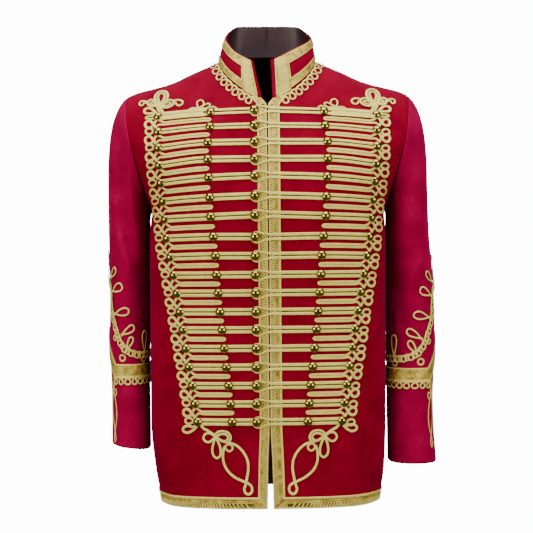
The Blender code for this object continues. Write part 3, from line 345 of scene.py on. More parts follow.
CENTRE_BUTTON_X = 0.0212
BUTTON_RADIUS = 0.0075
BUTTON_HEIGHT = 0.0050
CENTRE_BUTTON_SEAT = 0.0042  # the centre buttons sit on the lace, the others on their bars
ROW_BUTTON_SEAT = 0.0022
CUFF_BAND = {RIGHT: -0.5253, LEFT: -0.5358}  # lower edge of the lace round each sleeve
CUFF_LACE = 0.0205
CUFF_CORNER = 0.13  # turn at which the lace leaves the level band for its point
CUFF_MITRE = 0.158  # the same along the upper edge of the lace
CUFF_PEAK = 0.048
CUFF_PEAK_TOP = 0.0793
CUFF_GIRTH = 0.335  # the cuffs are drawn along this girth
CUFF_STRETCH = 1.30  # which is this much more than the real one
CUFF_TURN = {RIGHT: 0.011, LEFT: 0.0}


def unit(vectors):
    return vectors / np.maximum(np.linalg.norm(vectors, axis=-1, keepdims=True), 1e-12)


def share_up(x, z):
    """Share of the way from the underarm to the shoulder seam above this x."""
    return (z - UNDERARM_Z) / (SHOULDER.at("z", x) - UNDERARM_Z)


def roundover(share):
    return np.sqrt(np.maximum(1 - np.maximum(share, 0.0) ** SHOULDER_POWER, 0.0))


def half_width(side, share, z):
    return np.where(share > 0, CHEST.at("reach", share), BODY.at(SIDE_NAMES[side], z))


def body_depth(face, z):
    return BODY.at("front" if face == FRONT else "back", z)


def creased(across, z, lines):
    """How far creases pull a surface in. A line fades out towards its ends."""
    sunk = np.zeros(np.broadcast(across, z).shape)
    for across_a, z_a, across_b, z_b, depth, width in lines:
        line = np.array([across_b - across_a, z_b - z_a])
        length = line @ line
        share = ((across - across_a) * line[0] + (z - z_a) * line[1]) / length
        held = np.clip(share, 0.0, 1.0)
        away = (across - across_a - line[0] * held) ** 2 + (z - z_a - line[1] * held) ** 2
        sunk = sunk + depth * np.exp(-away / width**2)
    return sunk


def body_normal(side, face, x, y, z):
    """Outward direction of the body's surface, with x measured outwards."""
    power = BODY_POWER[face]

    def level(x, y, z):
        share = share_up(np.abs(x), z)
        depth = body_depth(face, z) * np.maximum(roundover(share), 1e-3)
        across = np.abs(x) / half_width(side, share, z)
        return across**power + (np.abs(y) / depth) ** power

    step = 2e-4
    slopes = [
        level(x + step, y, z) - level(x - step, y, z),
        level(x, y + step, z) - level(x, y - step, z),
        level(x, y, z + step) - level(x, y, z - step),
    ]
    return unit(np.stack(slopes, axis=-1))


def raised(side, face, x, y, z, height):
    """Points above the body's surface by this height, with its creases."""
    x, y, z, height = np.broadcast_arrays(x, y, z, height)
    normal = body_normal(side, face, x, y, z)
    lift = height - creased(np.abs(x), z, BODY_CREASES[side, face])
    points = np.stack([x, y + face * SEAM / 2, z], axis=-1) + normal * lift[..., None]
    return points * (side, 1, 1)


def on_body(side, face=FRONT):
    """Places (x, z, height) on a front or the back, with x measured outwards."""

    def place(x, z, height):
        power = BODY_POWER[face]
        share = share_up(np.abs(x), z)
        ratio = np.minimum(np.abs(x) / half_width(side, share, z), 1.0)
        depth = body_depth(face, z) * roundover(share)
        y = face * depth * (1 - ratio**power) ** (1 / power)
        return raised(side, face, x, y, z, height)

    return place


def on_hem(face):
    """Places (angle, z, height) round the hem, with the angle counted from the centre."""

    def place(angle, z, height):
        angle, z, height = np.broadcast_arrays(angle, z, height)
        power = BODY_POWER[face]
        found = []
        for side in (RIGHT, LEFT):
            x = half_width(side, -1.0, z) * np.sin(np.abs(angle)) ** (2 / power)
            y = face * body_depth(face, z) * np.cos(angle) ** (2 / power)
            found.append(raised(side, face, x, y, z, height))
        return np.where((angle < 0)[..., None], found[0], found[1])

    return place


def panel_point(side, face, u, v):
    """Panel surface with x measured outwards: u from the centre to the side seam or armhole, v to
    the underarm at 1, and on to the shoulder seam at 2."""
    u, v = np.broadcast_arrays(u, v)
    power = BODY_POWER[face]
    share = np.where(v > 1, (v - 1) * (3 - v), 0.0)
    low = HEM_Z + (UNDERARM_Z - HEM_Z) * np.minimum(v, 1.0)
    half = np.where(v > 1, CHEST.at("reach", share), BODY.at(SIDE_NAMES[side], low))
    cut = np.minimum((CHEST.at("armhole", share) / half) ** (power / 2), 1.0)
    angle = u * np.where(v > 1, np.arcsin(cut), math.pi / 2)
    x = half * np.sin(angle) ** (2 / power)
    z = np.where(v > 1, UNDERARM_Z + (SHOULDER.at("z", x) - UNDERARM_Z) * share, low)
    depth = body_depth(face, z) * roundover(share)
    y = face * depth * np.maximum(np.cos(angle), 0.0) ** (2 / power)
    return np.stack([x, y, z], axis=-1)


def found_between(low, high, is_past):
    """The value between low and high at which is_past turns true, by halving."""
    for _ in range(34):
        middle = (low + high) / 2
        past = is_past(middle)
        low, high = np.where(past, low, middle), np.where(past, middle, high)
    return (low + high) / 2


def share_of_x(side, face, x, v):
    """The u at which a panel's row lies at this x."""
    x, v = np.broadcast_arrays(x, v)
    return found_between(
        np.zeros(x.shape), np.ones(x.shape), lambda u: panel_point(side, face, u, v)[..., 0] > x
    )


def neck_row(side, face, u):
    """The v at which this column of a panel meets the neckline, or 2 beside the neck."""
    neck = NECK_FRONT if face == FRONT else NECK_BACK

    def is_past(v):
        point = panel_point(side, face, u, v)
        return (point[..., 0] < NECK_SIDE) & (point[..., 2] > neck.at("z", point[..., 0]))

    return found_between(np.ones(np.shape(u)), np.full(np.shape(u), 2.0), is_past)


def armhole(side, turn):
    """Point of the armhole seam, turn 0 at the shoulder, 0.25 in front, 0.5 under the arm."""
    rise = np.minimum(np.abs(1 - 2 * turn), 1.0)
    ends = [panel_point(side, face, 1.0, 1 + rise**1.3) for face in (FRONT, BACK)]
    ends = [end + (0, face * SEAM / 2, 0) for end, face in zip(ends, (FRONT, BACK))]
    return np.where((turn <= 0.5)[..., None], *ends)


def sleeve_ring(side, turn, z):
    """Point of the sleeve's outer surface below the cap, on the section at this height."""
    table = SLEEVE[side]
    inner, outer, middle, depth, tilt = (
        table.at(name, z) for name in ("inner", "outer", "middle", "depth", "tilt")
    )
    cosine, sine = np.cos(2 * math.pi * turn), np.sin(2 * math.pi * turn)
    across = np.copysign(np.abs(cosine) ** SLEEVE_SQUARE, cosine)
    along = np.copysign(np.abs(sine) ** SLEEVE_SQUARE, sine)
    lines = [
        (a * SLEEVE_GIRTH, z_a, b * SLEEVE_GIRTH, z_b, deep, wide)
        for a, z_a, b, z_b, deep, wide in CREASES[side]
    ]
    sunk = creased(turn * SLEEVE_GIRTH, z, lines)
    x = (inner + outer) / 2 + ((outer - inner) / 2 - sunk * (cosine > 0)) * across
    y = middle - (depth - sunk) * along
    return np.stack([x, y, z + tilt * cosine], axis=-1)


def sleeve_point(side, turn, v):
    """Sleeve surface with x measured outwards: v from the armhole (0) over the cap to its end (1),
    and on to the cuff (2)."""
    turn, v = np.broadcast_arrays(np.asarray(turn) % 1.0, v)
    low = sleeve_ring(side, turn, SLEEVE_TOP + (SLEEVE_BOTTOM[side] - SLEEVE_TOP) * (v - 1))
    start = armhole(side, turn)
    end = sleeve_ring(side, turn, np.full(turn.shape, SLEEVE_TOP))
    above = 0.5 + 0.5 * np.cos(2 * math.pi * turn)
    leave = unit(np.stack([0.45 + 0.25 * above, 0 * above, -0.9 + 0.2 * above], axis=-1))
    above = above[..., None]
    start = start + leave * SEAM * 1.6
    first = start + leave * (0.007 + 0.024 * above)
    last = end + np.array([0.0, 0.0, 1.0]) * (0.024 + 0.066 * above)
    t = np.minimum(v, 1.0)[..., None]
    cap = (1 - t) ** 3 * start + 3 * t * (1 - t) ** 2 * first + 3 * t * t * (1 - t) * last
    return np.where((v > 1)[..., None], low, cap + t**3 * end)


def on_sleeve(side):
    """Places (distance round, z, height) on a sleeve below its cap."""
    drop = SLEEVE_BOTTOM[side] - SLEEVE_TOP

    def place(along, z, height):
        along, z, height = np.broadcast_arrays(along, z, height)
        turn, v = along / CUFF_GIRTH + CUFF_TURN[side], 1 + (z - SLEEVE_TOP) / drop
        step = 1e-3
        around = sleeve_point(side, turn + step, v) - sleeve_point(side, turn - step, v)
        down = sleeve_point(side, turn, v + step) - sleeve_point(side, turn, v - step)
        points = sleeve_point(side, turn, v) + unit(np.cross(around, down)) * height[..., None]
        return points * (side, 1, 1)

    return place


NECK_STOPS = {  # share of each half panel's width at which the collar's turns stand
    BACK: [0.0, 0.11, 0.20],
    FRONT: [0.17, 0.09, 0.0],
}


def neckline(side, turn):
    """Seam of the collar, from the middle of the back (0) to the front edge (1)."""
    found = []
    for face in (BACK, FRONT):
        neck_u = share_of_x(side, face, NECK_SIDE, 2.0)
        stops = [*NECK_STOPS[BACK], neck_u] if face == BACK else [neck_u, *NECK_STOPS[FRONT]]
        turns = np.linspace(0, 0.5, 4) if face == BACK else np.linspace(0.5, 1, 4)
        u = np.interp(turn, turns, stops)
        if face == FRONT:
            u = np.maximum(u, share_of_x(side, face, FRONT_EDGE.at("x", -0.072), 1.6))
        v = np.where(u < neck_u - 1e-6, neck_row(side, face, u), 2.0)
        found.append(panel_point(side, face, u, v) + (0, face * SEAM / 2, 0))
    return np.where((turn <= 0.5)[..., None], *found)


def collar_point(turn, height):
    """Outer surface of the collar: turn -1 at the right front edge, 0 behind, 1 at the left."""
    turn, height = np.broadcast_arrays(turn, height)
    found = {}
    for side in (RIGHT, LEFT):
        table = COLLAR_TOP[side]
        top = np.stack([table.at(name, np.abs(turn)) for name in "xyz"], axis=-1)
        base = neckline(side, np.abs(turn))
        base = base - unit(top - base) * SEAM * 3
        swell = 0.0022 * np.sin(math.pi * np.clip(height, 0.0, 1.0))[..., None]
        outward = unit(np.stack([base[..., 0], base[..., 1] + 0.005, 0 * turn], axis=-1))
        found[side] = (base + (top - base) * height[..., None] + outward * swell) * (side, 1, 1)
    return np.where((turn > 0)[..., None], found[LEFT], found[RIGHT])


def on_collar(turn, height, lift):
    """Places (turn, height, lift) on the collar."""
    turn, height, lift = np.broadcast_arrays(turn, height, lift)
    step = 1e-3
    low, high = np.maximum(turn - step, -1.0), np.minimum(turn + step, 1.0)
    around = collar_point(high, height) - collar_point(low, height)
    up = collar_point(turn, height + step) - collar_point(turn, height - step)
    return collar_point(turn, height) + unit(np.cross(up, around)) * lift[..., None]


def node(tree, kind, wires=None, **settings):
    """Adds a node. A wire is a value or another node's socket, by the input's name or number."""
    made = tree.nodes.new(kind)
    for name, value in settings.items():
        setattr(made, name, value)
    for name, value in (wires or {}).items():
        if isinstance(value, bpy.types.Node):
            value = value.outputs[0]
        if isinstance(value, bpy.types.NodeSocket):
            tree.links.new(value, made.inputs[name])
        else:
            made.inputs[name].default_value = value
    return made


def linear(colour):
    """An sRGB hex colour as the linear colour that a shader takes."""
    shares = [int(colour[i : i + 2], 16) / 255 for i in (1, 3, 5)]
    return (*(c / 12.92 if c <= 0.04045 else ((c + 0.055) / 1.055) ** 2.4 for c in shares), 1.0)


def blank_material(name, **values):
    """A material with its plain values on the shader; returns its tree and its shader."""
    made = bpy.data.materials.new(name)
    made.use_nodes = True
    shader = made.node_tree.nodes["Principled BSDF"]
    for key, value in values.items():
        socket = shader.inputs[key.replace("_", " ")]
        socket.default_value = linear(value) if isinstance(value, str) else value
    return made, made.node_tree, shader


def tones(tree, share, stops):
    """A colour ramp read by a share from 0 to 1."""
    ramp = node(tree, "ShaderNodeValToRGB", {0: share})
    while len(ramp.color_ramp.elements) < len(stops):
        ramp.color_ramp.elements.new(0.5)
    for element, (position, colour) in zip(ramp.color_ramp.elements, stops):
        element.position = position
        element.color = linear(colour)
    return ramp


def math_node(tree, operation, *values, clamp=False):
    wires = dict(enumerate(values))
    return node(tree, "ShaderNodeMath", wires, operation=operation, use_clamp=clamp)


def object_place(tree):
    return node(tree, "ShaderNodeTexCoord").outputs["Object"]


def noise(tree, place, scale, detail):
    wires = {"Vector": place, "Scale": scale, "Detail": detail}
    return node(tree, "ShaderNodeTexNoise", wires)


def surfaced(tree, shader, colour, height, **relief):
    """Gives a shader its colour, and a bump from the same pattern."""
    tree.links.new(colour.outputs[0], shader.inputs["Base Color"])
    bump = node(tree, "ShaderNodeBump", {"Height": height, **relief})
    tree.links.new(bump.outputs[0], shader.inputs["Normal"])


def wool_material(name, shade, main, light, sheen, sheen_tint):
    """Wool broadcloth, milled and raised: matt, with a soft nap that catches light at a slant, so
    that rounded edges glow a little. The same finish, dark brown, is the painted shade under the
    lace's ribs."""
    made, tree, shader = blank_material(
        name,
        Roughness=0.92,
        Sheen_Weight=sheen,
        Sheen_Roughness=0.32,
        Sheen_Tint=sheen_tint,
        Specular_IOR_Level=0.04,
    )
    place = object_place(tree)
    # The nap is brushed downwards, so its flecks are longer than they are wide. Real flecks are
    # 0.2 mm; drawn at 1.2 mm so that they show.
    brushed = node(tree, "ShaderNodeMapping", {"Vector": place, "Scale": (1.0, 1.0, 0.35)})
    nap = noise(tree, brushed, 800.0, 3.0)
    cloud = noise(tree, place, 24.0, 2.0)
    share = math_node(tree, "MULTIPLY_ADD", nap, 0.55, math_node(tree, "MULTIPLY", cloud, 0.45))
    colour = tones(tree, share, [(0.30, shade), (0.50, main), (0.72, light)])
    surfaced(tree, shader, colour, nap, Strength=0.30, Distance=0.0004)
    return made


def lining_material():
    """Black-red viscose twill: smooth and slightly glossy, with fine diagonal lines."""
    made, tree, shader = blank_material("lining twill", Roughness=0.45, Specular_IOR_Level=0.4)
    place = object_place(tree)
    turned = node(tree, "ShaderNodeMapping", {"Vector": place, "Rotation": (0.0, 0.8, 0.0)})
    # Twill lines 1.2 mm apart; real ones are 0.3 mm.
    lines = node(tree, "ShaderNodeTexWave", {"Vector": turned, "Scale": 130.0, "Distortion": 0.6})
    colour = tones(tree, lines.outputs["Fac"], [(0.2, "#1d070b"), (0.9, "#33101a")])
    surfaced(tree, shader, colour, lines.outputs["Fac"], Distance=0.0001)
    return made


def braid_material(name, dark, main, light, pitch, metallic, roughness):
    """Plaited gold thread: slanting stitches that meet in the groove, with painted shade in the
    groove and along both edges and a painted highlight on the ridges.
    """
    made, tree, shader = blank_material(
        name, Roughness=roughness, Metallic=metallic, Specular_IOR_Level=0.25
    )
    along = node(tree, "ShaderNodeAttribute", attribute_name="along").outputs["Fac"]
    across = node(tree, "ShaderNodeAttribute", attribute_name="across").outputs["Fac"]
    away = math_node(tree, "ABSOLUTE", across)
    slant = math_node(tree, "MULTIPLY_ADD", away, 2.6, math_node(tree, "DIVIDE", along, pitch))
    thread = math_node(tree, "SINE", math_node(tree, "MULTIPLY", slant, 2 * math.pi))
    # Painted shade in the groove and along both edges, painted highlight on the two ridges between
    # them.
    rim = math_node(tree, "DIVIDE", math_node(tree, "SUBTRACT", 1.0, away), 0.34, clamp=True)
    groove = math_node(tree, "MULTIPLY_ADD", away, 3.0, 0.35, clamp=True)
    painted_ridge_light = math_node(tree, "MULTIPLY", rim, groove)
    place = object_place(tree)
    wear = noise(tree, place, 160.0, 2.0)
    share = math_node(tree, "MULTIPLY_ADD", thread, 0.12, math_node(tree, "MULTIPLY", painted_ridge_light, 0.55))
    share = math_node(tree, "ADD", share, math_node(tree, "MULTIPLY", wear, 0.30), clamp=True)
    colour = tones(tree, share, [(0.18, dark), (0.50, main), (0.85, light)])
    surfaced(tree, shader, colour, thread, Strength=0.5, Distance=0.00025)
    return made


# The real weave of the lace: half the width of a row, length of a chevron, and the gap between
# two rows.
CHEVRON_ROW = 0.00145
CHEVRON_LENGTH = 0.0016
CHEVRON_GAP = 0.00022


def lace_material():
    """Gold lace woven on a loom: flat metal threads over a yellow weft, in rows of small
    chevrons that glint unevenly where the metal has worn."""
    made, tree, shader = blank_material(
        "woven gold lace", Roughness=0.42, Metallic=0.35, Specular_IOR_Level=0.3
    )
    flat = node(tree, "ShaderNodeSeparateXYZ", {0: node(tree, "ShaderNodeUVMap", uv_map="lace")})
    along, across = flat.outputs[0], flat.outputs[1]
    row = math_node(tree, "PINGPONG", across, CHEVRON_ROW)
    slant = math_node(tree, "ADD", along, row)
    turn = math_node(tree, "MULTIPLY", slant, 2 * math.pi / CHEVRON_LENGTH)
    chevron = math_node(tree, "SINE", turn)
    gap = math_node(tree, "LESS_THAN", row, CHEVRON_GAP)
    place = object_place(tree)
    wear = noise(tree, place, 120.0, 2.0)
    share = math_node(tree, "MULTIPLY_ADD", chevron, 0.22, wear)
    share = math_node(tree, "SUBTRACT", share, math_node(tree, "MULTIPLY", gap, 0.3), clamp=True)
    colour = tones(tree, share, [(0.15, "#4a3406"), (0.5, "#b39a30"), (0.8, "#e6d060")])
    surfaced(tree, shader, colour, share, Strength=0.6, Distance=0.0004)
    return made


def button_material():
    """Gilt brass, stamped and polished: a mirror with faint ripples from the die. Its colour is
    painted darker and more olive than real gilding: painted shade for the dark room it reflects.
    """
    made, tree, shader = blank_material("gilt brass darkened as painted shade", Metallic=1.0, Roughness=0.06)
    place = object_place(tree)
    ripple = noise(tree, place, 220.0, 1.0)
    # Dark olive to dull gold: painted shade, with ripples from the die.
    colour = tones(tree, ripple, [(0.3, "#80742a"), (0.7, "#a8984a")])
    surfaced(tree, shader, colour, ripple, Strength=0.12, Distance=0.0006)
    return made


def new_piece(name, mesh, *finishes):
    for finish in finishes:
        mesh.materials.append(finish)
    piece = bpy.data.objects.new(name, mesh)
    bpy.context.scene.collection.objects.link(piece)
    return piece


def closed_mesh(name, points, faces, slots=None, uv=None, uv_name="cloth", sharp=50):
    """A mesh with outward faces, smooth but for its sharp edges, with sizes in metres as its UV."""
    mesh = bpy.data.meshes.new(name)
    mesh.from_pydata(np.reshape(points, (-1, 3)).tolist(), [], [list(map(int, f)) for f in faces])
    if slots is not None:
        mesh.polygons.foreach_set("material_index", slots)
    if uv is not None:
        corners = np.zeros(len(mesh.loops), int)
        mesh.loops.foreach_get("vertex_index", corners)
        layer = mesh.uv_layers.new(name=uv_name)
        layer.data.foreach_set("uv", np.reshape(uv, (-1, 2))[corners].ravel())
    work = bmesh.new()
    work.from_mesh(mesh)
    bmesh.ops.recalc_face_normals(work, faces=work.faces)
    if work.calc_volume(signed=True) < 0:
        bmesh.ops.reverse_faces(work, faces=work.faces)
    work.to_mesh(mesh)
    work.free()
    mesh.shade_smooth()
    mesh.set_sharp_from_angle(angle=math.radians(sharp))
    return mesh


def grid_slopes(points, closed):
    """Unit normals of a grid of points from its neighbours."""
    if closed:
        wide = np.roll(points, -1, axis=1) - np.roll(points, 1, axis=1)
    else:
        wide = np.gradient(points, axis=1)
    return unit(np.cross(wide, np.gradient(points, axis=0)))


def edge_distance(points, closed):
    """Distance of every grid point from the piece's nearest edge, along its rows and columns."""
    def from_ends(values, axis):
        steps = np.linalg.norm(np.diff(values, axis=axis), axis=-1)
        zero = np.zeros_like(np.take(steps, [0], axis=axis))
        run = np.concatenate([zero, np.cumsum(steps, axis=axis)], axis=axis)
        return np.minimum(run, np.take(run, [-1], axis=axis) - run)

    down = from_ends(points, 0)
    return down if closed else np.minimum(down, from_ends(points, 1))


def cloth_wall(name, outer, finish, lining, closed=False, outward=None, roll=0.0009):
    """A thin wall of cloth from a grid of outer points, lined inside. Its edges are turned in and
    pressed, so the outer face rolls down towards them."""
    rows, columns = outer.shape[:2]
    normals = grid_slopes(outer, closed)
    if outward is not None and np.sum(normals * outward) < 0:
        normals = -normals
    distance = edge_distance(outer, closed)
    inner = outer - normals * CLOTH
    outer = outer - normals * (roll * np.exp(-((distance / 0.0013) ** 2)))[..., None]
    points = np.concatenate([outer.reshape(-1, 3), inner.reshape(-1, 3)])
    c = np.arange(columns if closed else columns - 1)
    r = np.arange(rows - 1)[:, None]
    a, b = r * columns + c, r * columns + (c + 1) % columns
    outside = np.stack([a, b, b + columns, a + columns], axis=-1).reshape(-1, 4)
    offset = rows * columns
    inside = outside[:, ::-1] + offset
    rims = []
    for row in (0, rows - 1):
        a, b = row * columns + c, row * columns + (c + 1) % columns
        rims.append(np.stack([b, a, a + offset, b + offset], axis=-1))
    if not closed:
        for column in (0, columns - 1):
            a = np.arange(rows - 1) * columns + column
            rims.append(np.stack([a, a + columns, a + columns + offset, a + offset], axis=-1))
    rim = np.concatenate(rims)
    faces = np.concatenate([outside, inside, rim])
    slots = [0] * len(outside) + [1] * len(inside) + [0] * len(rim)
    return new_piece(name, closed_mesh(name, points, faces, slots, sharp=60), finish, lining)


def eased(spots, step=0.0012, closed=False):
    """A smooth path through a few spots, with more points where it bends. Columns after the
    first two, such as a height, are carried along."""
    spots = np.array(spots, float)
    if closed:
        spots = np.concatenate([spots[-1:], spots, spots[:2]])
    else:
        first, last = 2 * spots[0] - spots[1], 2 * spots[-1] - spots[-2]
        spots = np.concatenate([[first], spots, [last]])
    gaps = np.maximum(np.linalg.norm(np.diff(spots[:, :2], axis=0), axis=1), 1e-6) ** 0.5
    knots = np.concatenate([[0], np.cumsum(gaps)])
    found = []
    for i in range(1, len(spots) - 2):
        count = max(int(gaps[i] ** 2 / step), 2)
        t = np.linspace(knots[i], knots[i + 1], count, endpoint=False)[:, None]
        p, k = spots[i - 1 : i + 3], knots[i - 1 : i + 3]
        a = [(k[j + 1] - t) / (k[j + 1] - k[j]) * p[j] + (t - k[j]) / (k[j + 1] - k[j]) * p[j + 1]
             for j in range(3)]
        b = [(k[j + 2] - t) / (k[j + 2] - k[j]) * a[j] + (t - k[j]) / (k[j + 2] - k[j]) * a[j + 1]
             for j in range(2)]
        found.append((k[2] - t) / (k[2] - k[1]) * b[0] + (t - k[1]) / (k[2] - k[1]) * b[1])
    path = np.concatenate(found + [spots[-2:-1]])
    kept, turned, gone = [0], 0.0, 0.0
    for i in range(1, len(path) - 1):
        ahead, behind = path[i + 1, :2] - path[i, :2], path[i, :2] - path[i - 1, :2]
        turned += abs(math.atan2(behind[0] * ahead[1] - behind[1] * ahead[0], behind @ ahead))
        gone += np.linalg.norm(behind)
        if turned > 0.16 or gone > 0.006:
            kept.append(i)
            turned = gone = 0.0
    return path[[*kept, len(path) - 1]]


class Cords:
    """The cords of one piece. Each lies on a surface, and is swept later, all in one go."""

    def __init__(self):
        self.points, self.facing, self.wide, self.edges, self.count = [], [], [], [], 0

    def lay(self, place, path, wide, seat=0.0004):
        """Lays a cord along a path of (across, up, lift); its width may be one or one a point."""
        path = np.array(path, float)
        lift = path[:, 2] if path.shape[1] > 2 else np.zeros(len(path))
        low = place(path[:, 0], path[:, 1], seat + lift)
        high = place(path[:, 0], path[:, 1], seat + lift + 0.001)
        steps = np.linalg.norm(np.diff(low, axis=0), axis=1)
        keep = np.concatenate([[True], steps > 1e-5])
        low, high = low[keep], high[keep]
        self.points.append(low)
        self.facing.append(unit(high - low))
        self.wide.append(np.broadcast_to(wide, len(path))[keep])
        self.edges += [(self.count + i, self.count + i + 1) for i in range(len(low) - 1)]
        self.count += len(low)

    def piece(self, name, tree, finish, **sizes):
        mesh = bpy.data.meshes.new(name)
        mesh.from_pydata(np.concatenate(self.points).tolist(), self.edges, [])
        facing = mesh.attributes.new("facing", "FLOAT_VECTOR", "POINT")
        facing.data.foreach_set("vector", np.concatenate(self.facing).ravel())
        wide = mesh.attributes.new("wide", "FLOAT", "POINT")
        wide.data.foreach_set("value", np.concatenate(self.wide))
        return grown(name, mesh, tree, Finish=finish, **sizes)


def grown(name, mesh, tree, **inputs):
    """Runs a node tree on a mesh and keeps what it makes as a plain piece."""
    source = new_piece(name, mesh)
    modifier = source.modifiers.new("grown", "NODES")
    modifier.node_group = tree
    for item in tree.interface.items_tree:
        if item.in_out == "INPUT" and item.name in inputs:
            modifier[item.identifier] = inputs[item.name]
    graph = bpy.context.evaluated_depsgraph_get()
    result = bpy.data.meshes.new_from_object(source.evaluated_get(graph))
    bpy.data.objects.remove(source)
    return new_piece(name, result)


def tree_with(name, **inputs):
    """A Geometry Nodes tree with a mesh and named sizes going in, and a mesh coming out."""
    tree = bpy.data.node_groups.new(name, "GeometryNodeTree")
    sockets = tree.interface
    sockets.new_socket("Mesh", in_out="INPUT", socket_type="NodeSocketGeometry")
    for key, kind in inputs.items():
        sockets.new_socket(key, in_out="INPUT", socket_type=f"NodeSocket{kind}")
    sockets.new_socket("Mesh", in_out="OUTPUT", socket_type="NodeSocketGeometry")
    return tree, tree.nodes.new("NodeGroupInput"), tree.nodes.new("NodeGroupOutput")


def named(tree, name, kind="FLOAT"):
    return node(tree, "GeometryNodeInputNamedAttribute", {"Name": name}, data_type=kind)


def stored(tree, shape, name, value):
    wires = {"Geometry": shape, "Name": name, "Value": value}
    return node(tree, "GeometryNodeStoreNamedAttribute", wires)


def finished(tree, whole, start, end):
    """Ends a tree: the whole shape in its finish."""
    wires = {"Geometry": whole, "Material": start.outputs["Finish"]}
    whole = node(tree, "GeometryNodeSetMaterial", wires)
    tree.links.new(whole.outputs[0], end.inputs[0])
    return tree


def cord_tree():
    """Sweeps a cord along every path: two ridges with a groove between them, flat below."""
    tree, start, end = tree_with(
        "cord along paths", Height="Float", Groove="Float", Sides="Int", Finish="Material"
    )
    wires = {"Resolution": start.outputs["Sides"], "Radius": 1.0}
    ring = node(tree, "GeometryNodeCurvePrimitiveCircle", wires)
    at = node(tree, "ShaderNodeSeparateXYZ", {0: node(tree, "GeometryNodeInputPosition")})
    up, side = at.outputs[0], at.outputs[1]
    far = math_node(tree, "MULTIPLY", math_node(tree, "MULTIPLY", side, side), -12.0)
    dip = math_node(tree, "MULTIPLY", math_node(tree, "EXPONENT", far), start.outputs["Groove"])
    top = math_node(tree, "MAXIMUM", up, 0.0)
    top = math_node(tree, "SUBTRACT", top, math_node(tree, "MULTIPLY", top, dip))
    base = math_node(tree, "MULTIPLY", math_node(tree, "MINIMUM", up, 0.0), 0.25)
    height = math_node(tree, "ADD", top, base)
    height = math_node(tree, "MULTIPLY", height, start.outputs["Height"])
    half = math_node(tree, "MULTIPLY", side, 0.5)
    spot = node(tree, "ShaderNodeCombineXYZ", {0: height, 1: half, 2: 0.0})
    ring = stored(tree, ring, "across", side)
    ring = node(tree, "GeometryNodeSetPosition", {"Geometry": ring, "Position": spot})
    path = node(tree, "GeometryNodeMeshToCurve", {"Mesh": start.outputs["Mesh"]})
    path = node(
        tree,
        "GeometryNodeSetCurveNormal",
        {"Curve": path, "Normal": named(tree, "facing", "FLOAT_VECTOR")},
        mode="FREE",
    )
    length = node(tree, "GeometryNodeSplineParameter").outputs["Length"]
    path = stored(tree, path, "along", length)
    swept = node(
        tree,
        "GeometryNodeCurveToMesh",
        {"Curve": path, "Profile Curve": ring, "Scale": named(tree, "wide"), "Fill Caps": True},
    )
    whole = node(tree, "GeometryNodeRealizeInstances", {"Geometry": swept})
    whole = node(tree, "GeometryNodeSetShadeSmooth", {"Geometry": whole})
    return finished(tree, whole, start, end)


def dome_tree():
    """Sets a copy of one dome on every point, square to the cloth there."""
    tree, start, end = tree_with("domes on points", Dome="Object", Finish="Material")
    dome = node(tree, "GeometryNodeObjectInfo", {"Object": start.outputs["Dome"]})
    turn = node(
        tree,
        "FunctionNodeAlignRotationToVector",
        {"Vector": named(tree, "facing", "FLOAT_VECTOR")},
        axis="Z",
    )
    placed = node(
        tree,
        "GeometryNodeInstanceOnPoints",
        {"Points": start.outputs["Mesh"], "Instance": dome.outputs["Geometry"], "Rotation": turn},
    )
    whole = node(tree, "GeometryNodeRealizeInstances", {"Geometry": placed})
    return finished(tree, whole, start, end)


# Section of a domed button from its rim to its crown, as shares of its radius and height.
DOME_SECTION = [
    (0.30, -0.10),
    (0.90, -0.06),
    (1.00, 0.04),
    (0.97, 0.15),
    (0.84, 0.42),
    (0.64, 0.70),
    (0.40, 0.90),
    (0.18, 0.98),
]


def ring_faces(rings, sides):
    """Faces between rings of points, each with as many sides."""
    faces = []
    for ring in range(rings - 1):
        for k in range(sides):
            a, b = ring * sides + k, ring * sides + (k + 1) % sides
            faces.append((a, b, b + sides, a + sides))
    return faces


def dome_mesh():
    sides = 20
    angles = np.arange(sides) * 2 * math.pi / sides
    points = [
        (out * BUTTON_RADIUS * math.cos(a), out * BUTTON_RADIUS * math.sin(a), up * BUTTON_HEIGHT)
        for out, up in DOME_SECTION
        for a in angles
    ]
    faces = ring_faces(len(DOME_SECTION), sides)
    crown = len(points)
    points.append((0, 0, BUTTON_HEIGHT))
    top = (len(DOME_SECTION) - 1) * sides
    faces += [(top + k, top + (k + 1) % sides, crown) for k in range(sides)]
    faces.append(tuple(range(sides))[::-1])
    return closed_mesh("button dome", points, faces, sharp=80)


def band(place, low, high, thick, seat=0.0003):
    """A flat strip between two paths that have the same number of points: its rings of points and
    their places in the weave, in metres."""
    low, high = np.array(low, float), np.array(high, float)
    inset = np.array([0.0, 0.012, 0.05, 0.10, 0.3, 0.5, 0.7, 0.90, 0.95, 0.988, 1.0])
    rise = np.array([0.25, 0.72, 0.94, 1.0, 1.0, 1.0, 1.0, 1.0, 0.94, 0.72, 0.25]) * thick
    shares = np.concatenate([inset, inset[::-3]])
    heights = seat + np.concatenate([rise, np.zeros(len(inset[::-3]))])
    spots = low[:, None, :] + (high - low)[:, None, :] * shares[None, :, None]
    points = place(spots[..., 0], spots[..., 1], np.broadcast_to(heights, spots.shape[:2]))
    middle = points[:, 5]
    along = np.concatenate([[0], np.cumsum(np.linalg.norm(np.diff(middle, axis=0), axis=1))])
    width = np.linalg.norm(points[:, 0] - points[:, 10], axis=1)
    run = np.broadcast_to(along[:, None], spots.shape[:2])
    return points, np.stack([run, width[:, None] * shares[None, :]], axis=-1)


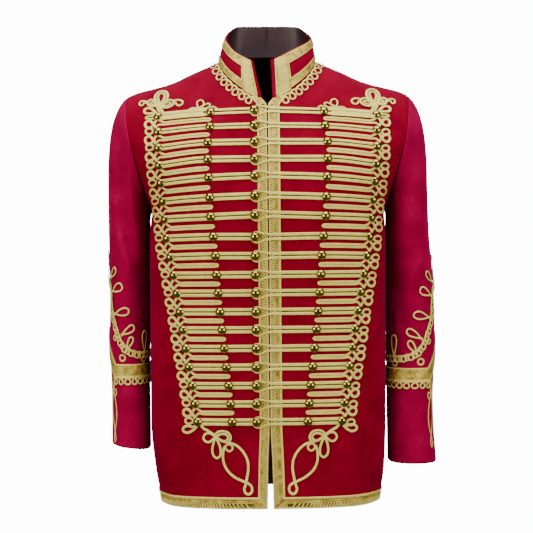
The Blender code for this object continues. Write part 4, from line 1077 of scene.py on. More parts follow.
def strips(name, bands, finish):
    """One piece from closed strips."""
    points, faces, uvs, count = [], [], [], 0
    for rings, uv in bands:
        rows, columns = rings.shape[:2]
        c = np.arange(columns)
        r = np.arange(rows - 1)[:, None]
        a, b = count + r * columns + c, count + r * columns + (c + 1) % columns
        faces += np.stack([a, b, b + columns, a + columns], axis=-1).reshape(-1, 4).tolist()
        faces.append((count + c).tolist())
        faces.append((count + (rows - 1) * columns + c[::-1]).tolist())
        points.append(rings.reshape(-1, 3))
        uvs.append(uv.reshape(-1, 2))
        count += rows * columns
    points, uv = np.concatenate(points), np.concatenate(uvs)
    return new_piece(name, closed_mesh(name, points, faces, uv=uv, uv_name="lace"), finish)


MM = 0.001


def fine_shares(count):
    """Shares from 0 to 1 that crowd together at both ends, where a turned edge rolls over."""
    ends = np.array([0.0, 0.0022, 0.0045, 0.0080, 0.0130])
    return np.concatenate([ends, np.linspace(0.02, 0.98, count), 1 - ends[::-1]])


UNDERARM_ROW = 0.62  # share of a panel's rows that lie below the underarm
EDGE_COLUMN = 0.09  # share of its columns that follow the front edge
CAP_ROW = 0.24  # share of a sleeve's rows that lie on its cap


def half_panel(side, face):
    """Outer points of half a front or back, from the hem up and from the centre outwards."""
    neck_u = float(share_of_x(side, face, NECK_SIDE, 2.0))
    u = np.sort(np.append(fine_shares(56), neck_u))[None, :]
    top = np.where(u < neck_u - 1e-6, neck_row(side, face, u), 2.0)
    rise = fine_shares(130)[:, None]
    above = 1 + (rise - UNDERARM_ROW) / (1 - UNDERARM_ROW) * (top - 1)
    v = np.where(rise < UNDERARM_ROW, rise / UNDERARM_ROW, above)
    if face == FRONT:
        z = panel_point(side, face, 0.0, v)[..., 2]
        edge = share_of_x(side, face, FRONT_EDGE.at("x", z), v)
        u = np.where(u < EDGE_COLUMN, edge + u * (1 - edge / EDGE_COLUMN), u)
    point = panel_point(side, face, u, v)
    return raised(side, face, *np.moveaxis(point, -1, 0), 0.0)


def make_body(wool, lining):
    for side in (RIGHT, LEFT):
        points = half_panel(side, FRONT)
        name = SIDE_NAMES[side]
        cloth_wall(f"wool_front_{name}", points, wool, lining, outward=(0, -1, 0))
    halves = half_panel(RIGHT, BACK), half_panel(LEFT, BACK)
    points = np.concatenate([halves[0][:, :0:-1], halves[1]], axis=1)
    cloth_wall("wool_back", points, wool, lining, outward=(0, 1, 0))


def make_sleeves(wool, lining):
    turn = np.arange(132)[None, :] / 132
    down = fine_shares(150)[:, None]
    v = np.where(down < CAP_ROW, down / CAP_ROW, 1 + (down - CAP_ROW) / (1 - CAP_ROW))
    for side in (RIGHT, LEFT):
        points = sleeve_point(side, turn, v) * (side, 1, 1)
        outward = points - points.mean(axis=1, keepdims=True)
        name = f"wool_sleeve_{SIDE_NAMES[side]}"
        cloth_wall(name, points, wool, lining, closed=True, outward=outward)


def make_collar(wool, lining):
    turn = fine_shares(120)[None, :] * 2 - 1
    points = collar_point(turn, fine_shares(18)[:, None])
    outward = points * (1, 1, 0)
    cloth_wall("wool_collar", points, wool, lining, outward=outward, roll=0.0011)


def bar_height(row, x):
    """Height of a bar's centre line at x, which may be on either side of the centre."""
    x = np.minimum(np.abs(x), row["x_outer"])
    return row["curve"].at("z", x)


def bar_half(row, x):
    share = np.clip((np.abs(x) - row["x_inner"] - 0.004) / 0.008, 0.0, 1.0)
    return row["near"] + (row["far"] - row["near"]) * share


for row in ROWS:
    buttons = [(row[f"x_{name}"], row[f"z_{name}"]) for name in ("inner", "outer")]
    row["curve"] = Table("x z", [(0.0, row["z_centre"]), *buttons])

STRAND = 0.83  # width of a bar's strand, as a share of the bar's half-height
STRAND_OUT = 0.52  # distance of its centre line from the bar's, the same
LOOP = [  # half of the loop round a centre button: past the edge, and half-height
    (-0.0010, 0.0042), (-0.0075, 0.0056), (-0.0135, 0.0074), (-0.0185, 0.0083), (-0.0228, 0.0074),
    (-0.0262, 0.0044), (-0.0274, 0.0000),
]
BAR_PAST = 0.0045  # how far a bar runs past its outer button
BAR_START = {RIGHT: 0.0182, LEFT: 0.0045}  # where it starts beside the front edge
BAR_SEAT = 0.0005
# Where the dark strip of painted shadow under each bar starts
SHADOW_STRIP_START = {RIGHT: CENTRE_BUTTON_X, LEFT: 0.0045}
LOOP_WIDTH = 0.0031
LOOP_DROP = 0.0010  # the buttons pull up in their loops
OVER_LACE = 0.0017


def strand_path(row, x, way, lift=0.0):
    z = bar_height(row, x) + way * STRAND_OUT * bar_half(row, x)
    return np.stack([x, z, np.broadcast_to(lift, x.shape)], axis=-1)


def lay_rows(cords, side):
    """The two strands of every bar. On the left front they go on round the centre button."""
    place, start = on_body(side), BAR_START[side]
    for number, row in enumerate(ROWS):
        out = row["x_outer"] + BAR_PAST
        if side == RIGHT:
            x = np.linspace(out, start, 34)
            for way in (1, -1):
                cords.lay(place, strand_path(row, x, way), STRAND * bar_half(row, x), BAR_SEAT)
        else:
            x = np.linspace(out, start, 36)
            lift = OVER_LACE * np.clip((0.0215 - x) / 0.005, 0.0, 1.0)
            upper, lower = (strand_path(row, x, way, lift) for way in (1, -1))
            half = np.array(LOOP)
            turn = np.concatenate([half, half[-2::-1] * (1, -1)])
            turn[:, 1] += bar_height(row, turn[:, 0])
            turn[:, 1] -= LOOP_DROP * (turn[:, 0] < -0.012)
            over = np.where(turn[:, 0] > -0.0165, OVER_LACE, 0.0006)
            turn = np.column_stack([turn, over])
            ends = [upper[-2:], turn, lower[:-3:-1]]
            loop = eased(np.concatenate(ends))
            path = np.concatenate([upper[:-2], loop, lower[-3::-1]])
            narrow = np.clip((path[:, 0] + 0.004) / 0.012, 0.0, 1.0)
            wide = LOOP_WIDTH + (STRAND * bar_half(row, path[:, 0]) - LOOP_WIDTH) * narrow
            cords.lay(place, path, wide, BAR_SEAT)
        if number == 0:
            x = np.linspace(out, row["x_inner"] + 0.012, 12)
            z = bar_height(row, x)
            cords.lay(place, np.column_stack([x, z]), 0.0040, 0.0004)


def lay_painted_shadow_strips(cords, side):
    """A dark strip under the two strands of every bar: painted shadow in the gap between them."""
    for row in ROWS[1:]:
        x = np.linspace(row["x_outer"], SHADOW_STRIP_START[side], 24)
        cords.lay(on_body(side), np.column_stack([x, bar_height(row, x)]), 0.0030, 0.0003)


def lay_tongues(cords, side):
    """A cord doubled back on itself between two bars, from the chain to its rounded tip."""
    place = on_body(side)
    for index, (upper, lower) in enumerate(zip(ROWS, ROWS[1:])):
        tip = (upper["x_inner"] + lower["x_inner"]) / 2 - (0.003 if index > 4 else 0.0)
        half = 0.0019 if index < 2 else 0.00205
        level = lambda x: (bar_height(upper, x) + bar_height(lower, x)) / 2
        start, end = upper["x_outer"], lower["x_outer"]
        x = np.linspace(start - 0.0105, tip + 0.0045, 9)
        there = np.column_stack([x, level(x) + half])
        round_tip = [(tip + 0.0012, level(tip) + half * 0.75), (tip, level(tip))]
        round_tip += [(tip + 0.0012, level(tip) - half * 0.75)]
        x = np.linspace(tip + 0.0045, end - 0.0090, 9)
        back = np.column_stack([x, level(x) - half])
        first = [(start - 0.0010, upper["z_outer"] - 0.0060)]
        first += [(start - 0.0050, level(start) + 0.0052)]
        last = [(end - 0.0015, level(end) - 0.0012), (end + 0.0050, lower["z_outer"] + 0.0072)]
        path = eased([*first, *there, *round_tip, *back, *last])
        cords.lay(place, path, 2 * half * 0.98, 0.0003)


# Paths of the chain in millimetres, outwards and up. The eyelet is seen from its own centre, the
# rest from the button beside them.
EYELET = [
    (-14.6, 9.6), (-11.2, 4.6), (-8.4, -0.4), (-5.4, -4.5), (-1.0, -6.1), (3.6, -4.6), (5.7, -0.6),
    (4.6, 3.7), (0.6, 6.0), (-4.0, 4.6), (-7.8, 0.4), (-10.8, -3.8), (-14.0, -8.2), (-16.2, -11.6),
]
RING = [
    (1.0, -1.4), (5.6, 0.6), (9.6, 4.4), (13.8, 6.2), (18.0, 5.2), (20.2, 1.9), (18.9, -1.7),
    (15.0, -3.6), (10.8, -2.6), (7.4, 0.4), (4.6, 3.2), (1.0, 4.4),
]
FIRST_EYELET = [
    (1.0, 3.0), (6.5, 9.0), (12.0, 14.2), (18.0, 15.2), (23.0, 12.4), (22.6, 7.8), (17.5, 5.6),
    (10.0, 5.4), (3.0, 2.0),
]
FIRST_RING = [
    (1.0, 0.8), (9.0, 1.2), (15.0, 1.0), (20.0, -0.4), (20.2, -2.2), (15.0, -3.6), (9.0, -3.4),
    (2.0, -2.0),
]
LAST_DROP = [
    (0.5, -4.0), (2.6, -8.7), (9.2, -14.9), (16.4, -17.9), (22.5, -15.8), (23.8, -11.5),
    (19.5, -7.6), (13.5, -7.0), (8.0, -8.4), (2.0, -6.0),
]
LEFT_RING_DROP = -4.6
OVER = 1.5  # how far a cord rises where it crosses another
THIN_CORD = 0.0030


def from_spot(path, x, z, lift=0.0):
    """A path in millimetres, moved to a spot in metres, eased, with one lift or one a point."""
    path = np.array(path, float)[:, :2] * MM + (x, z)
    lift = np.broadcast_to(lift, len(path)) * MM
    return np.column_stack([path, lift])


def lay_chain(cords, side):
    """The chain of rings and eyelets down the outer ends of the rows."""
    place = on_body(side)
    eyelet_lift = np.zeros(len(EYELET))
    eyelet_lift[slice(9, 13) if side == RIGHT else slice(1, 5)] = OVER
    for index, row in enumerate(ROWS):
        x, z = row["x_outer"], row["z_outer"]
        if index == 0:
            cords.lay(place, eased(from_spot(FIRST_EYELET, x, z, 0.4)), 0.0050)
            cords.lay(place, eased(from_spot(FIRST_RING, x, z, 0.2)), 0.0034)
        else:
            ring = np.array(RING) + (0.0, 0.0 if side == RIGHT else LEFT_RING_DROP)
            cords.lay(place, eased(from_spot(ring, x, z, 0.3)), 0.0039)
        if index + 1 < len(ROWS):
            after = ROWS[index + 1]
            spot = (x + after["x_outer"]) / 2 + 0.0156, (z + after["z_outer"]) / 2
            cords.lay(place, eased(from_spot(EYELET, *spot, eyelet_lift)), 0.0048)
        else:
            cords.lay(place, eased(from_spot(LAST_DROP, x, z, 0.3)), 0.0045)


# Knots in millimetres from their button, outwards and up: width of the cord, lift and path.
SHOULDER_KNOT = [
    (4.8, 0.0, [
        (-2.7, 17), (4.8, 26), (7.0, 37), (2.4, 44.6), (-4.4, 46.6), (-11, 44.4), (-14.6, 37),
        (-10.6, 26), (-2.7, 17),
    ]),
    (4.4, 0.0, [
        (-3.1, 22), (0.9, 29), (2.0, 37), (-0.5, 41.2), (-3.9, 42.3), (-7.2, 41.2), (-9.4, 37),
        (-7.4, 29), (-3.1, 22),
    ]),
    (4.2, 0.7, [
        (-4.0, 15.5), (4, 24), (10, 29.3), (15, 29.8), (18.4, 25.6), (16.6, 20.5), (11.5, 18.2),
        (4.5, 18.2), (-3.5, 19.0),
    ]),
    (3.4, 0.5, [
        (0, 19.6), (6.5, 24.6), (11.0, 26.0), (13.8, 24.4), (12.0, 22.2), (7, 21.2), (0, 20.4),
    ]),
    (3.6, 0.3, [
        (19, 27), (24, 28.6), (29.3, 28.8), (32.4, 26.0), (32.2, 22.6), (29.3, 20.6), (26.2, 22.4),
        (25.0, 25.6), (19, 24),
    ]),
    (4.2, 0.9, [
        (-1.5, 15.5), (-8, 22.5), (-14.5, 27.4), (-20, 28.2), (-25.2, 24.9), (-24.2, 19.5),
        (-18.5, 15.6), (-11, 14.7), (-2.0, 17.5),
    ]),
    (3.4, 0.6, [
        (-6, 18.6), (-12, 23.2), (-17.5, 24.2), (-20.4, 22.0), (-17.0, 19.4), (-11, 18.2),
        (-6, 18.4),
    ]),
    (3.8, 0.3, [
        (-25, 27), (-30, 28.0), (-36.5, 27.4), (-40.2, 24.0), (-38.6, 19.6), (-33.8, 18.0),
        (-29.8, 20.2), (-28.2, 23.4), (-24, 24),
    ]),
    (4.8, 1.2, [
        (-1.8, 19), (-3.4, 14), (-6.9, 8.5), (-8.5, 4.0),
    ]),
    (4.2, 0.6, [
        (2.2, 16.5), (0.5, 12), (-2.0, 8.0), (-1.0, 4.5),
    ]),
]
CHEST_KNOT = [
    (3.0, 0.4, [
        (17, 5.0), (24.5, 7.4), (30.5, 7.5), (35.0, 5.2), (34.6, 2.8), (30.0, 2.4), (24, 3.6),
        (17, 6.4),
    ]),
    (3.0, 0.6, [
        (18.5, 6.0), (22.2, 12.5), (22.0, 18.0), (17.5, 21.0), (12.8, 19.0), (11.2, 14.2),
        (13.4, 9.6), (19, 5.6),
    ]),
    (3.0, 0.8, [
        (17.5, 5.8), (11, 11.8), (5, 14.4), (1.2, 13.2), (1.4, 9.8), (5, 7.4), (10, 6.4),
        (18, 6.2),
    ]),
    (2.8, 1.2, [
        (34.7, 1.0), (27, 3.6), (20, 6.8), (12, 11.0), (5.4, 14.6),
    ]),
    (2.8, 0.4, [
        (-10.5, 5.8), (-7.2, 7.8), (-4.2, 9.2), (-1.0, 7.6), (2, 5.8),
    ]),
]
# The skirt knot in millimetres from the front's own origin.
SKIRT_KNOT = [
    (4.4, 0.0, [
        (112, -598), (106, -604.5), (101.5, -606.6), (91.4, -613.2), (83.3, -619.8),
        (74.2, -624.8), (64.1, -626.9), (56, -629.9), (48, -636), (40.9, -645.1), (36.3, -656.2),
        (35.3, -668.3), (37.3, -681.5), (39.9, -693.6), (42.2, -700.7), (39.9, -707.0),
        (34.8, -708.8), (30.0, -704.7), (30.4, -696.6), (35.8, -691.6), (45.9, -687.5),
        (59.1, -680.5), (70.2, -669.3), (75.3, -656.2), (75.8, -646.1), (74.2, -636),
        (71.2, -631.4),
    ]),
    (3.4, 0.5, [
        (71.8, -633.5), (70.2, -637.5), (65.1, -640.5), (60.2, -636), (61.5, -631.1),
        (66.2, -628.9), (71, -631),
    ]),
    (4.0, 0.8, [
        (88, -616.5), (96.5, -611.6), (103.2, -612.8), (106.8, -618.8), (103.2, -624.8),
        (97.5, -625.6), (91, -620.8), (86, -616.4),
    ]),
    (4.0, 1.1, [
        (87.5, -617.5), (91.6, -630.9), (92.6, -641), (89.9, -648.4), (84.9, -651.2),
        (80.2, -647.4), (79.2, -638), (81.5, -628.9), (87, -618),
    ]),
    (4.0, 0.9, [
        (87.6, -617.6), (79.3, -613.0), (71.2, -613.0), (67.0, -617.8), (69.6, -623.0),
        (76.2, -624.2), (82, -620.5),
    ]),
    (3.6, 1.2, [
        (90.0, -615.6), (82.5, -608.9), (74.2, -607.9), (66.8, -610.4), (62.8, -618.8),
        (66.4, -626.8),
    ]),
]


def lay_knots(cords, side):
    place = on_body(side)
    first = ROWS[0]
    spots = (
        (SHOULDER_KNOT, first["x_outer"], first["z_outer"]),
        (CHEST_KNOT, first["x_inner"], first["z_inner"]),
        (SKIRT_KNOT, 0.0, 0.0),
    )
    for knot, x, z in spots:
        for width, lift, path in knot:
            cords.lay(place, eased(from_spot(path, x, z, lift)), width * MM)


def curled(path, pitch, swing, fall, rise=0.0009):
    """A cord that runs along a path in a row of hanging loops, with its lift at each crossing."""
    path = np.array(path, float)
    along = unit(np.gradient(path, axis=0))
    run = np.concatenate([[0], np.cumsum(np.linalg.norm(np.diff(path, axis=0), axis=1))])
    count = max(round(run[-1] / pitch), 1)
    angle = np.linspace(0, 2 * math.pi * count, 20 * count + 1)
    spot = run[-1] * angle / angle[-1] + swing * np.sin(angle)
    read = lambda values: np.interp(spot, run, values)
    centre = np.stack([read(path[:, 0]), read(path[:, 1])], axis=-1)
    out = unit(np.stack([read(along[:, 1]), -read(along[:, 0])], axis=-1))
    loops = centre - out * (np.cos(angle) * fall)[:, None]
    return np.column_stack([loops, rise * (0.5 + 0.5 * np.sin(angle))])


NECK_START = 0.0125  # where the loops start beside the front edge
NECK_LOOPS_DROP = 0.0096  # of their middle below the neckline
NECK_LOOPS = {"pitch": 0.0130, "swing": 0.0074, "fall": 0.0066}


def lay_neck_loops(cords, side):
    """One thin cord that runs below the collar in a row of hanging loops."""
    turn = np.linspace(0.965, 0.515, 60)
    x = NECK_START + (NECK_SIDE - NECK_START) * np.sin((1 - turn) * math.pi)
    path = np.stack([x, NECK_FRONT.at("z", x)], axis=-1)
    along = unit(np.gradient(path, axis=0))
    path = path + np.stack([along[:, 1], -along[:, 0]], axis=-1) * NECK_LOOPS_DROP
    cords.lay(on_body(side), curled(path, **NECK_LOOPS), THIN_CORD)


def button_piece(name, spots, tree, dome, finish):
    """Domes on spots of (place, across, up, height)."""
    def raised_by(lift):
        return np.array(
            [place(np.array([x]), np.array([z]), height + lift)[0] for place, x, z, height in spots]
        )

    low, high = raised_by(0.0), raised_by(MM)
    mesh = bpy.data.meshes.new(name)
    mesh.from_pydata(low.tolist(), [], [])
    facing = mesh.attributes.new("facing", "FLOAT_VECTOR", "POINT")
    facing.data.foreach_set("vector", unit(high - low).ravel())
    return grown(name, mesh, tree, Dome=dome, Finish=finish)


def make_buttons(tree, dome, finish):
    for side in (RIGHT, LEFT):
        place = on_body(side)
        spots = []
        for row in ROWS:
            for x in (row["x_outer"], row["x_inner"]):
                spots.append((place, x, float(bar_height(row, x)), ROW_BUTTON_SEAT))
            if side == RIGHT:
                z = float(bar_height(row, CENTRE_BUTTON_X))
                spots.append((place, CENTRE_BUTTON_X, z, CENTRE_BUTTON_SEAT))
        button_piece(f"buttons_{SIDE_NAMES[side]}", spots, tree, dome, finish)


# The lace down each front, from the garment's edge inwards: its width and that of its cord.
FRONT_LACE = {RIGHT: (0.0125, 0.0028), LEFT: (0.0148, 0.0038)}
LACE_THICK = 0.0011
LACE_HEIGHTS = (0.0018, 0.0050)  # where a rib of the hem's lace starts and bends
EDGE_STRIP = 0.0020  # plain lace before the ribs begin
RIB_ZONE = 0.0066
RIB_PITCH = 0.0036
RIB_WIDTH = 0.0021
HEM_RIB_PITCH = 0.0042
HEM_RIB_WIDTH = 0.0023
HEM_LACE = 0.0135
HEM_CORD = 0.0046
HEM_CORD_RISE = 0.0024  # of the cord's centre line above the lace
HEM_STRIP = 0.0016
HEM_RIBS = 0.0085  # top of the ribs above the hem's edge
SHADE_STRIP_THICK = 0.0003
EDGE_CORD = 0.0009  # distance of the thin edge cord from the edge
ON_LACE = 0.0010  # height of a cord's base on the lace
CORNER_Z = HEM_Z + 0.0012
SIDE_SEAM = math.radians(89.7)  # angle round the hem at which its lace ends
LACE_TWIST = {"Height": 0.45, "Groove": 0.25, "Sides": 10}


def hem_angle(side, face, x):
    power = BODY_POWER[face]
    return np.arcsin(np.minimum(x / half_width(side, -1.0, HEM_Z), 1.0) ** (power / 2))


def edge_x(z):
    return FRONT_EDGE.at("x", z) + 0.0008


def lace_top(x):
    """Height at which the lace of a front runs in under the collar."""
    return NECK_FRONT.at("z", x) - 0.0006


def make_front_lace(side, lace, painted_rib_shade, bright, tree):
    """Lace with its cord down a front edge and along the hem, joined in a mitre at the corner."""
    place, hem = on_body(side), on_hem(FRONT)
    turned = lambda angle, z, height: hem(side * angle, z, height)
    wide, cord = FRONT_LACE[side]
    share = np.linspace(0, 1, 150)
    top = float(lace_top(edge_x(-0.074)))
    low_z = top + (CORNER_Z - top) * share
    top = float(lace_top(edge_x(-0.074) + wide))
    high_z = top + (CORNER_Z + wide - top) * share
    low = np.column_stack([edge_x(low_z), low_z])
    high = np.column_stack([edge_x(high_z) + wide, high_z])
    bands = [band(place, low, high, LACE_THICK)]
    start, inside = (hem_angle(side, FRONT, edge_x(CORNER_Z) + out) for out in (0.0, wide))
    end = SIDE_SEAM
    sweep = np.linspace(0.0, 1.0, 110)
    hem_low = np.column_stack([start + (end - start) * sweep, np.full(110, CORNER_Z)])
    hem_high = np.column_stack([inside + (end - inside) * sweep, np.full(110, CORNER_Z + HEM_LACE)])
    bands.append(band(turned, hem_low, hem_high, LACE_THICK))
    name = SIDE_NAMES[side]
    strips(f"lace_front_{name}", bands, lace)

    # A dark brown strip under the ribs: painted shade between them.
    inset, reach = EDGE_STRIP * 0.8, EDGE_STRIP + RIB_ZONE
    z = np.linspace(low_z[2], CORNER_Z + reach, 150)
    low, high = (np.column_stack([edge_x(z) + out, z]) for out in (inset, reach))
    shade_bands = [band(place, low, high, SHADE_STRIP_THICK, LACE_THICK)]
    low, high = (hem_low[4:] + (0.0, out) for out in (HEM_STRIP, HEM_RIBS))
    shade_bands.append(band(turned, low, high, SHADE_STRIP_THICK, LACE_THICK))
    strips(f"lace_ground_{name}", shade_bands, painted_rib_shade)

    cords = Cords()
    cords.lay(place, np.column_stack([edge_x(low_z) + EDGE_CORD, low_z]), 0.0022, ON_LACE)
    z = np.linspace(high_z[0], CORNER_Z + HEM_LACE + 0.0020, 150)
    cords.lay(place, np.column_stack([edge_x(z) + wide + cord / 2, z]), cord)
    cords.lay(turned, hem_low + (0.0, EDGE_CORD), 0.0021, ON_LACE)
    angle = np.linspace(hem_angle(side, FRONT, edge_x(z[-1]) + wide), end, 110)
    level = np.full(110, CORNER_Z + HEM_LACE + HEM_CORD_RISE)
    cords.lay(turned, np.column_stack([angle, level]), HEM_CORD)
    for z in np.arange(low_z[4], CORNER_Z + 0.006, -RIB_PITCH):
        x = edge_x(z) + EDGE_STRIP + np.array([0.0, 0.5, 1.0]) * RIB_ZONE
        rib = np.column_stack([x, z + np.array([-0.0016, 0.0, 0.0016])])
        cords.lay(place, rib, RIB_WIDTH, LACE_THICK)
    for share in np.arange(0.012 / 0.22, 1.0, HEM_RIB_PITCH / 0.22):
        angle = start + (end - start) * share + np.array([0.0, 0.5, 1.0]) * 0.018
        rib = np.column_stack([angle, CORNER_Z + np.array([*LACE_HEIGHTS, HEM_RIBS])])
        cords.lay(turned, rib, HEM_RIB_WIDTH, LACE_THICK)
    cords.piece(f"lace_cords_{name}", tree, bright, **LACE_TWIST)


def make_back_lace(lace, painted_rib_shade, bright, tree):
    """The same lace along the hem of the back."""
    hem = on_hem(BACK)
    angle = np.linspace(-SIDE_SEAM, SIDE_SEAM, 220)
    at = lambda rise: np.column_stack([angle, np.full(220, CORNER_Z + rise)])
    strips("lace_hem_back", [band(hem, at(0.0), at(HEM_LACE), LACE_THICK)], lace)
    # A dark brown strip under the ribs: painted shade between them.
    shade_band = band(hem, at(HEM_STRIP), at(HEM_RIBS), SHADE_STRIP_THICK, LACE_THICK)
    strips("lace_ground_back", [shade_band], painted_rib_shade)
    cords = Cords()
    cords.lay(hem, at(EDGE_CORD), 0.0021, ON_LACE)
    cords.lay(hem, at(HEM_LACE + HEM_CORD_RISE), HEM_CORD)
    for middle in np.arange(-1.55, 1.55, 0.0165):
        rib = middle + np.array([0.010, 0.0, -0.010])
        rib = np.column_stack([rib, CORNER_Z + np.array([*LACE_HEIGHTS, HEM_RIBS])])
        cords.lay(hem, rib, HEM_RIB_WIDTH, LACE_THICK)
    cords.piece("lace_cords_back", tree, bright, **LACE_TWIST)


# The frame of lace on the collar, as shares of its height and of its turn.
COLLAR_FOOT = 0.0
COLLAR_BOTTOM = 0.07
COLLAR_LOWER = 0.285
COLLAR_UPPER = 0.695
COLLAR_TRIM = 0.945
COLLAR_INSIDE = 0.872
COLLAR_EDGE = 0.968


def make_collar_lace(lace, bright, tree):
    """A frame of lace on the collar: bands along its top and bottom, joined at both fronts."""
    turn = np.linspace(-COLLAR_EDGE, COLLAR_EDGE, 200)
    level = lambda height, over=turn: np.column_stack([over, np.full(len(over), height)])
    bands = [
        band(on_collar, level(COLLAR_BOTTOM), level(COLLAR_LOWER), 0.0011),
        band(on_collar, level(COLLAR_UPPER), level(COLLAR_TRIM), 0.0011),
    ]
    rise = np.linspace(COLLAR_FOOT, COLLAR_TRIM, 40)
    cords = Cords()
    for way in (-1, 1):
        upright = lambda at: np.column_stack([np.full(40, way * at), rise])
        bands.append(band(on_collar, upright(COLLAR_EDGE), upright(COLLAR_INSIDE), 0.0012, 0.0004))
        for rib in np.arange(COLLAR_FOOT + 0.04, COLLAR_TRIM - 0.03, 0.056):
            at = way * (COLLAR_EDGE + (COLLAR_INSIDE - COLLAR_EDGE) * np.array([0.14, 0.5, 0.86]))
            path = np.column_stack([at, rib + np.array([-0.028, 0.0, 0.028])])
            cords.lay(on_collar, path, 0.0024, 0.0010)
    strips("lace_collar", bands, lace)
    rise = np.linspace(COLLAR_BOTTOM, COLLAR_TRIM, 30)
    left = np.column_stack([np.full(30, -COLLAR_EDGE), rise])
    right = np.column_stack([np.full(30, COLLAR_EDGE), rise[::-1]])
    cords.lay(on_collar, np.concatenate([left, level(COLLAR_TRIM), right]), 0.0016, 0.0008)
    cords.lay(on_collar, level(COLLAR_BOTTOM), 0.0016, 0.0008)
    field = np.linspace(-COLLAR_INSIDE, COLLAR_INSIDE, 200)
    rise = np.linspace(COLLAR_LOWER, COLLAR_UPPER, 24)
    left = np.column_stack([np.full(24, -COLLAR_INSIDE), rise])
    right = np.column_stack([np.full(24, COLLAR_INSIDE), rise[::-1]])
    cords.lay(
        on_collar,
        np.concatenate([left, level(COLLAR_UPPER, field), right, level(COLLAR_LOWER, field[::-1])]),
        0.0016,
        0.0008,
    )
    cords.piece("lace_cords_collar", tree, bright, Height=0.45, Groove=0.2, Sides=10)


# Cuff knots on the right sleeve: turn and height of the tip and root of each petal, its width.
CUFF_PETALS = [
    (0.216, -0.376, 0.133, -0.388, 0.0130),
    (0.252, -0.416, 0.160, -0.4225, 0.0130),
    (0.287, -0.442, 0.216, -0.4554, 0.0120),
    (0.278, -0.460, 0.240, -0.4796, 0.0105),
    (0.380, -0.450, 0.378, -0.4860, 0.0155),
    (0.500, -0.450, 0.500, -0.4860, 0.0155),
    (0.165, -0.352, 0.105, -0.368, 0.0105),
    (0.020, -0.330, 0.020, -0.378, 0.0150),
]
CUFF_RINGS = [
    (0.2125, -0.494, 0.0050),
    (0.375, -0.497, 0.0048),
    (0.157, -0.461, 0.0042),
    (0.112, -0.4235, 0.0040),
]
CUFF_VINE = [  # the curled cord that ties the petals together, turn and height
    (0.028, -0.372), (0.090, -0.378), (0.118, -0.400), (0.130, -0.424), (0.160, -0.444),
    (0.196, -0.466), (0.240, -0.482), (0.310, -0.489), (0.400, -0.490), (0.500, -0.490),
]


def teardrop(tip, root, width):
    """Path of a looped petal whose two ends cross at its root."""
    tip, root = np.array(tip), np.array(root)
    along = tip - root
    out = np.array([-along[1], along[0]]) / np.linalg.norm(along) * width / 2
    stops = [(-0.10, -0.25), (0.15, 0.28), (0.55, 0.86), (0.80, 0.92), (0.97, 0.45)]
    path = [root + along * rise + out * side for rise, side in stops]
    path += [root + along * rise - out * side for rise, side in stops[::-1]]
    return path


CUFF_THREADS = [  # cords along the cuff's lace: share of its width, and their own width
    (0.03, 0.0026),
    (0.25, 0.0016),
    (0.48, 0.0016),
    (0.71, 0.0016),
    (0.96, 0.0028),
]
CUFF_LOBES = {"pitch": 0.0152, "swing": 0.0092, "fall": 0.0056}
CUFF_LOBES_DROP = 0.0068  # of their middle below the lace
VINE_PITCH = 0.0140
VINE_CORDS = [(0.0086, 0.0052, 0.0010), (-0.0070, -0.0044, 0.0004)]  # swing, fall and lift
VINE_WIDTH = 0.0026
RING_WIDTH = 0.0029
DROP_KNOT_WIDTH = 0.0024
DROP_KNOT = [  # below the cuff's corner: turn and height
    (0.128, -0.527), (0.122, -0.541), (0.108, -0.552), (0.090, -0.556), (0.088, -0.548),
    (0.106, -0.547), (0.124, -0.556), (0.140, -0.572), (0.146, -0.588), (0.136, -0.606),
    (0.118, -0.620), (0.112, -0.630), (0.122, -0.636), (0.132, -0.630), (0.126, -0.620),
    (0.110, -0.608), (0.094, -0.590), (0.092, -0.572), (0.104, -0.556), (0.122, -0.548),
    (0.142, -0.546), (0.146, -0.554), (0.130, -0.557), (0.112, -0.548), (0.102, -0.538),
    (0.104, -0.527),
]


def cuff_edge(corner, level, peak):
    """Path round a sleeve at one level that rises to a point outside."""
    arm = np.linspace(0, 1, 24)
    flat = np.linspace(0, 1, 130)[1:-1]
    turn = np.concatenate(
        [corner * arm, corner + (1 - 2 * corner) * flat, 1 - corner * arm[::-1]]
    )
    rise = peak * np.concatenate([1 - arm, 0 * flat, 1 - arm[::-1]])
    return np.column_stack([turn * CUFF_GIRTH, level + rise])


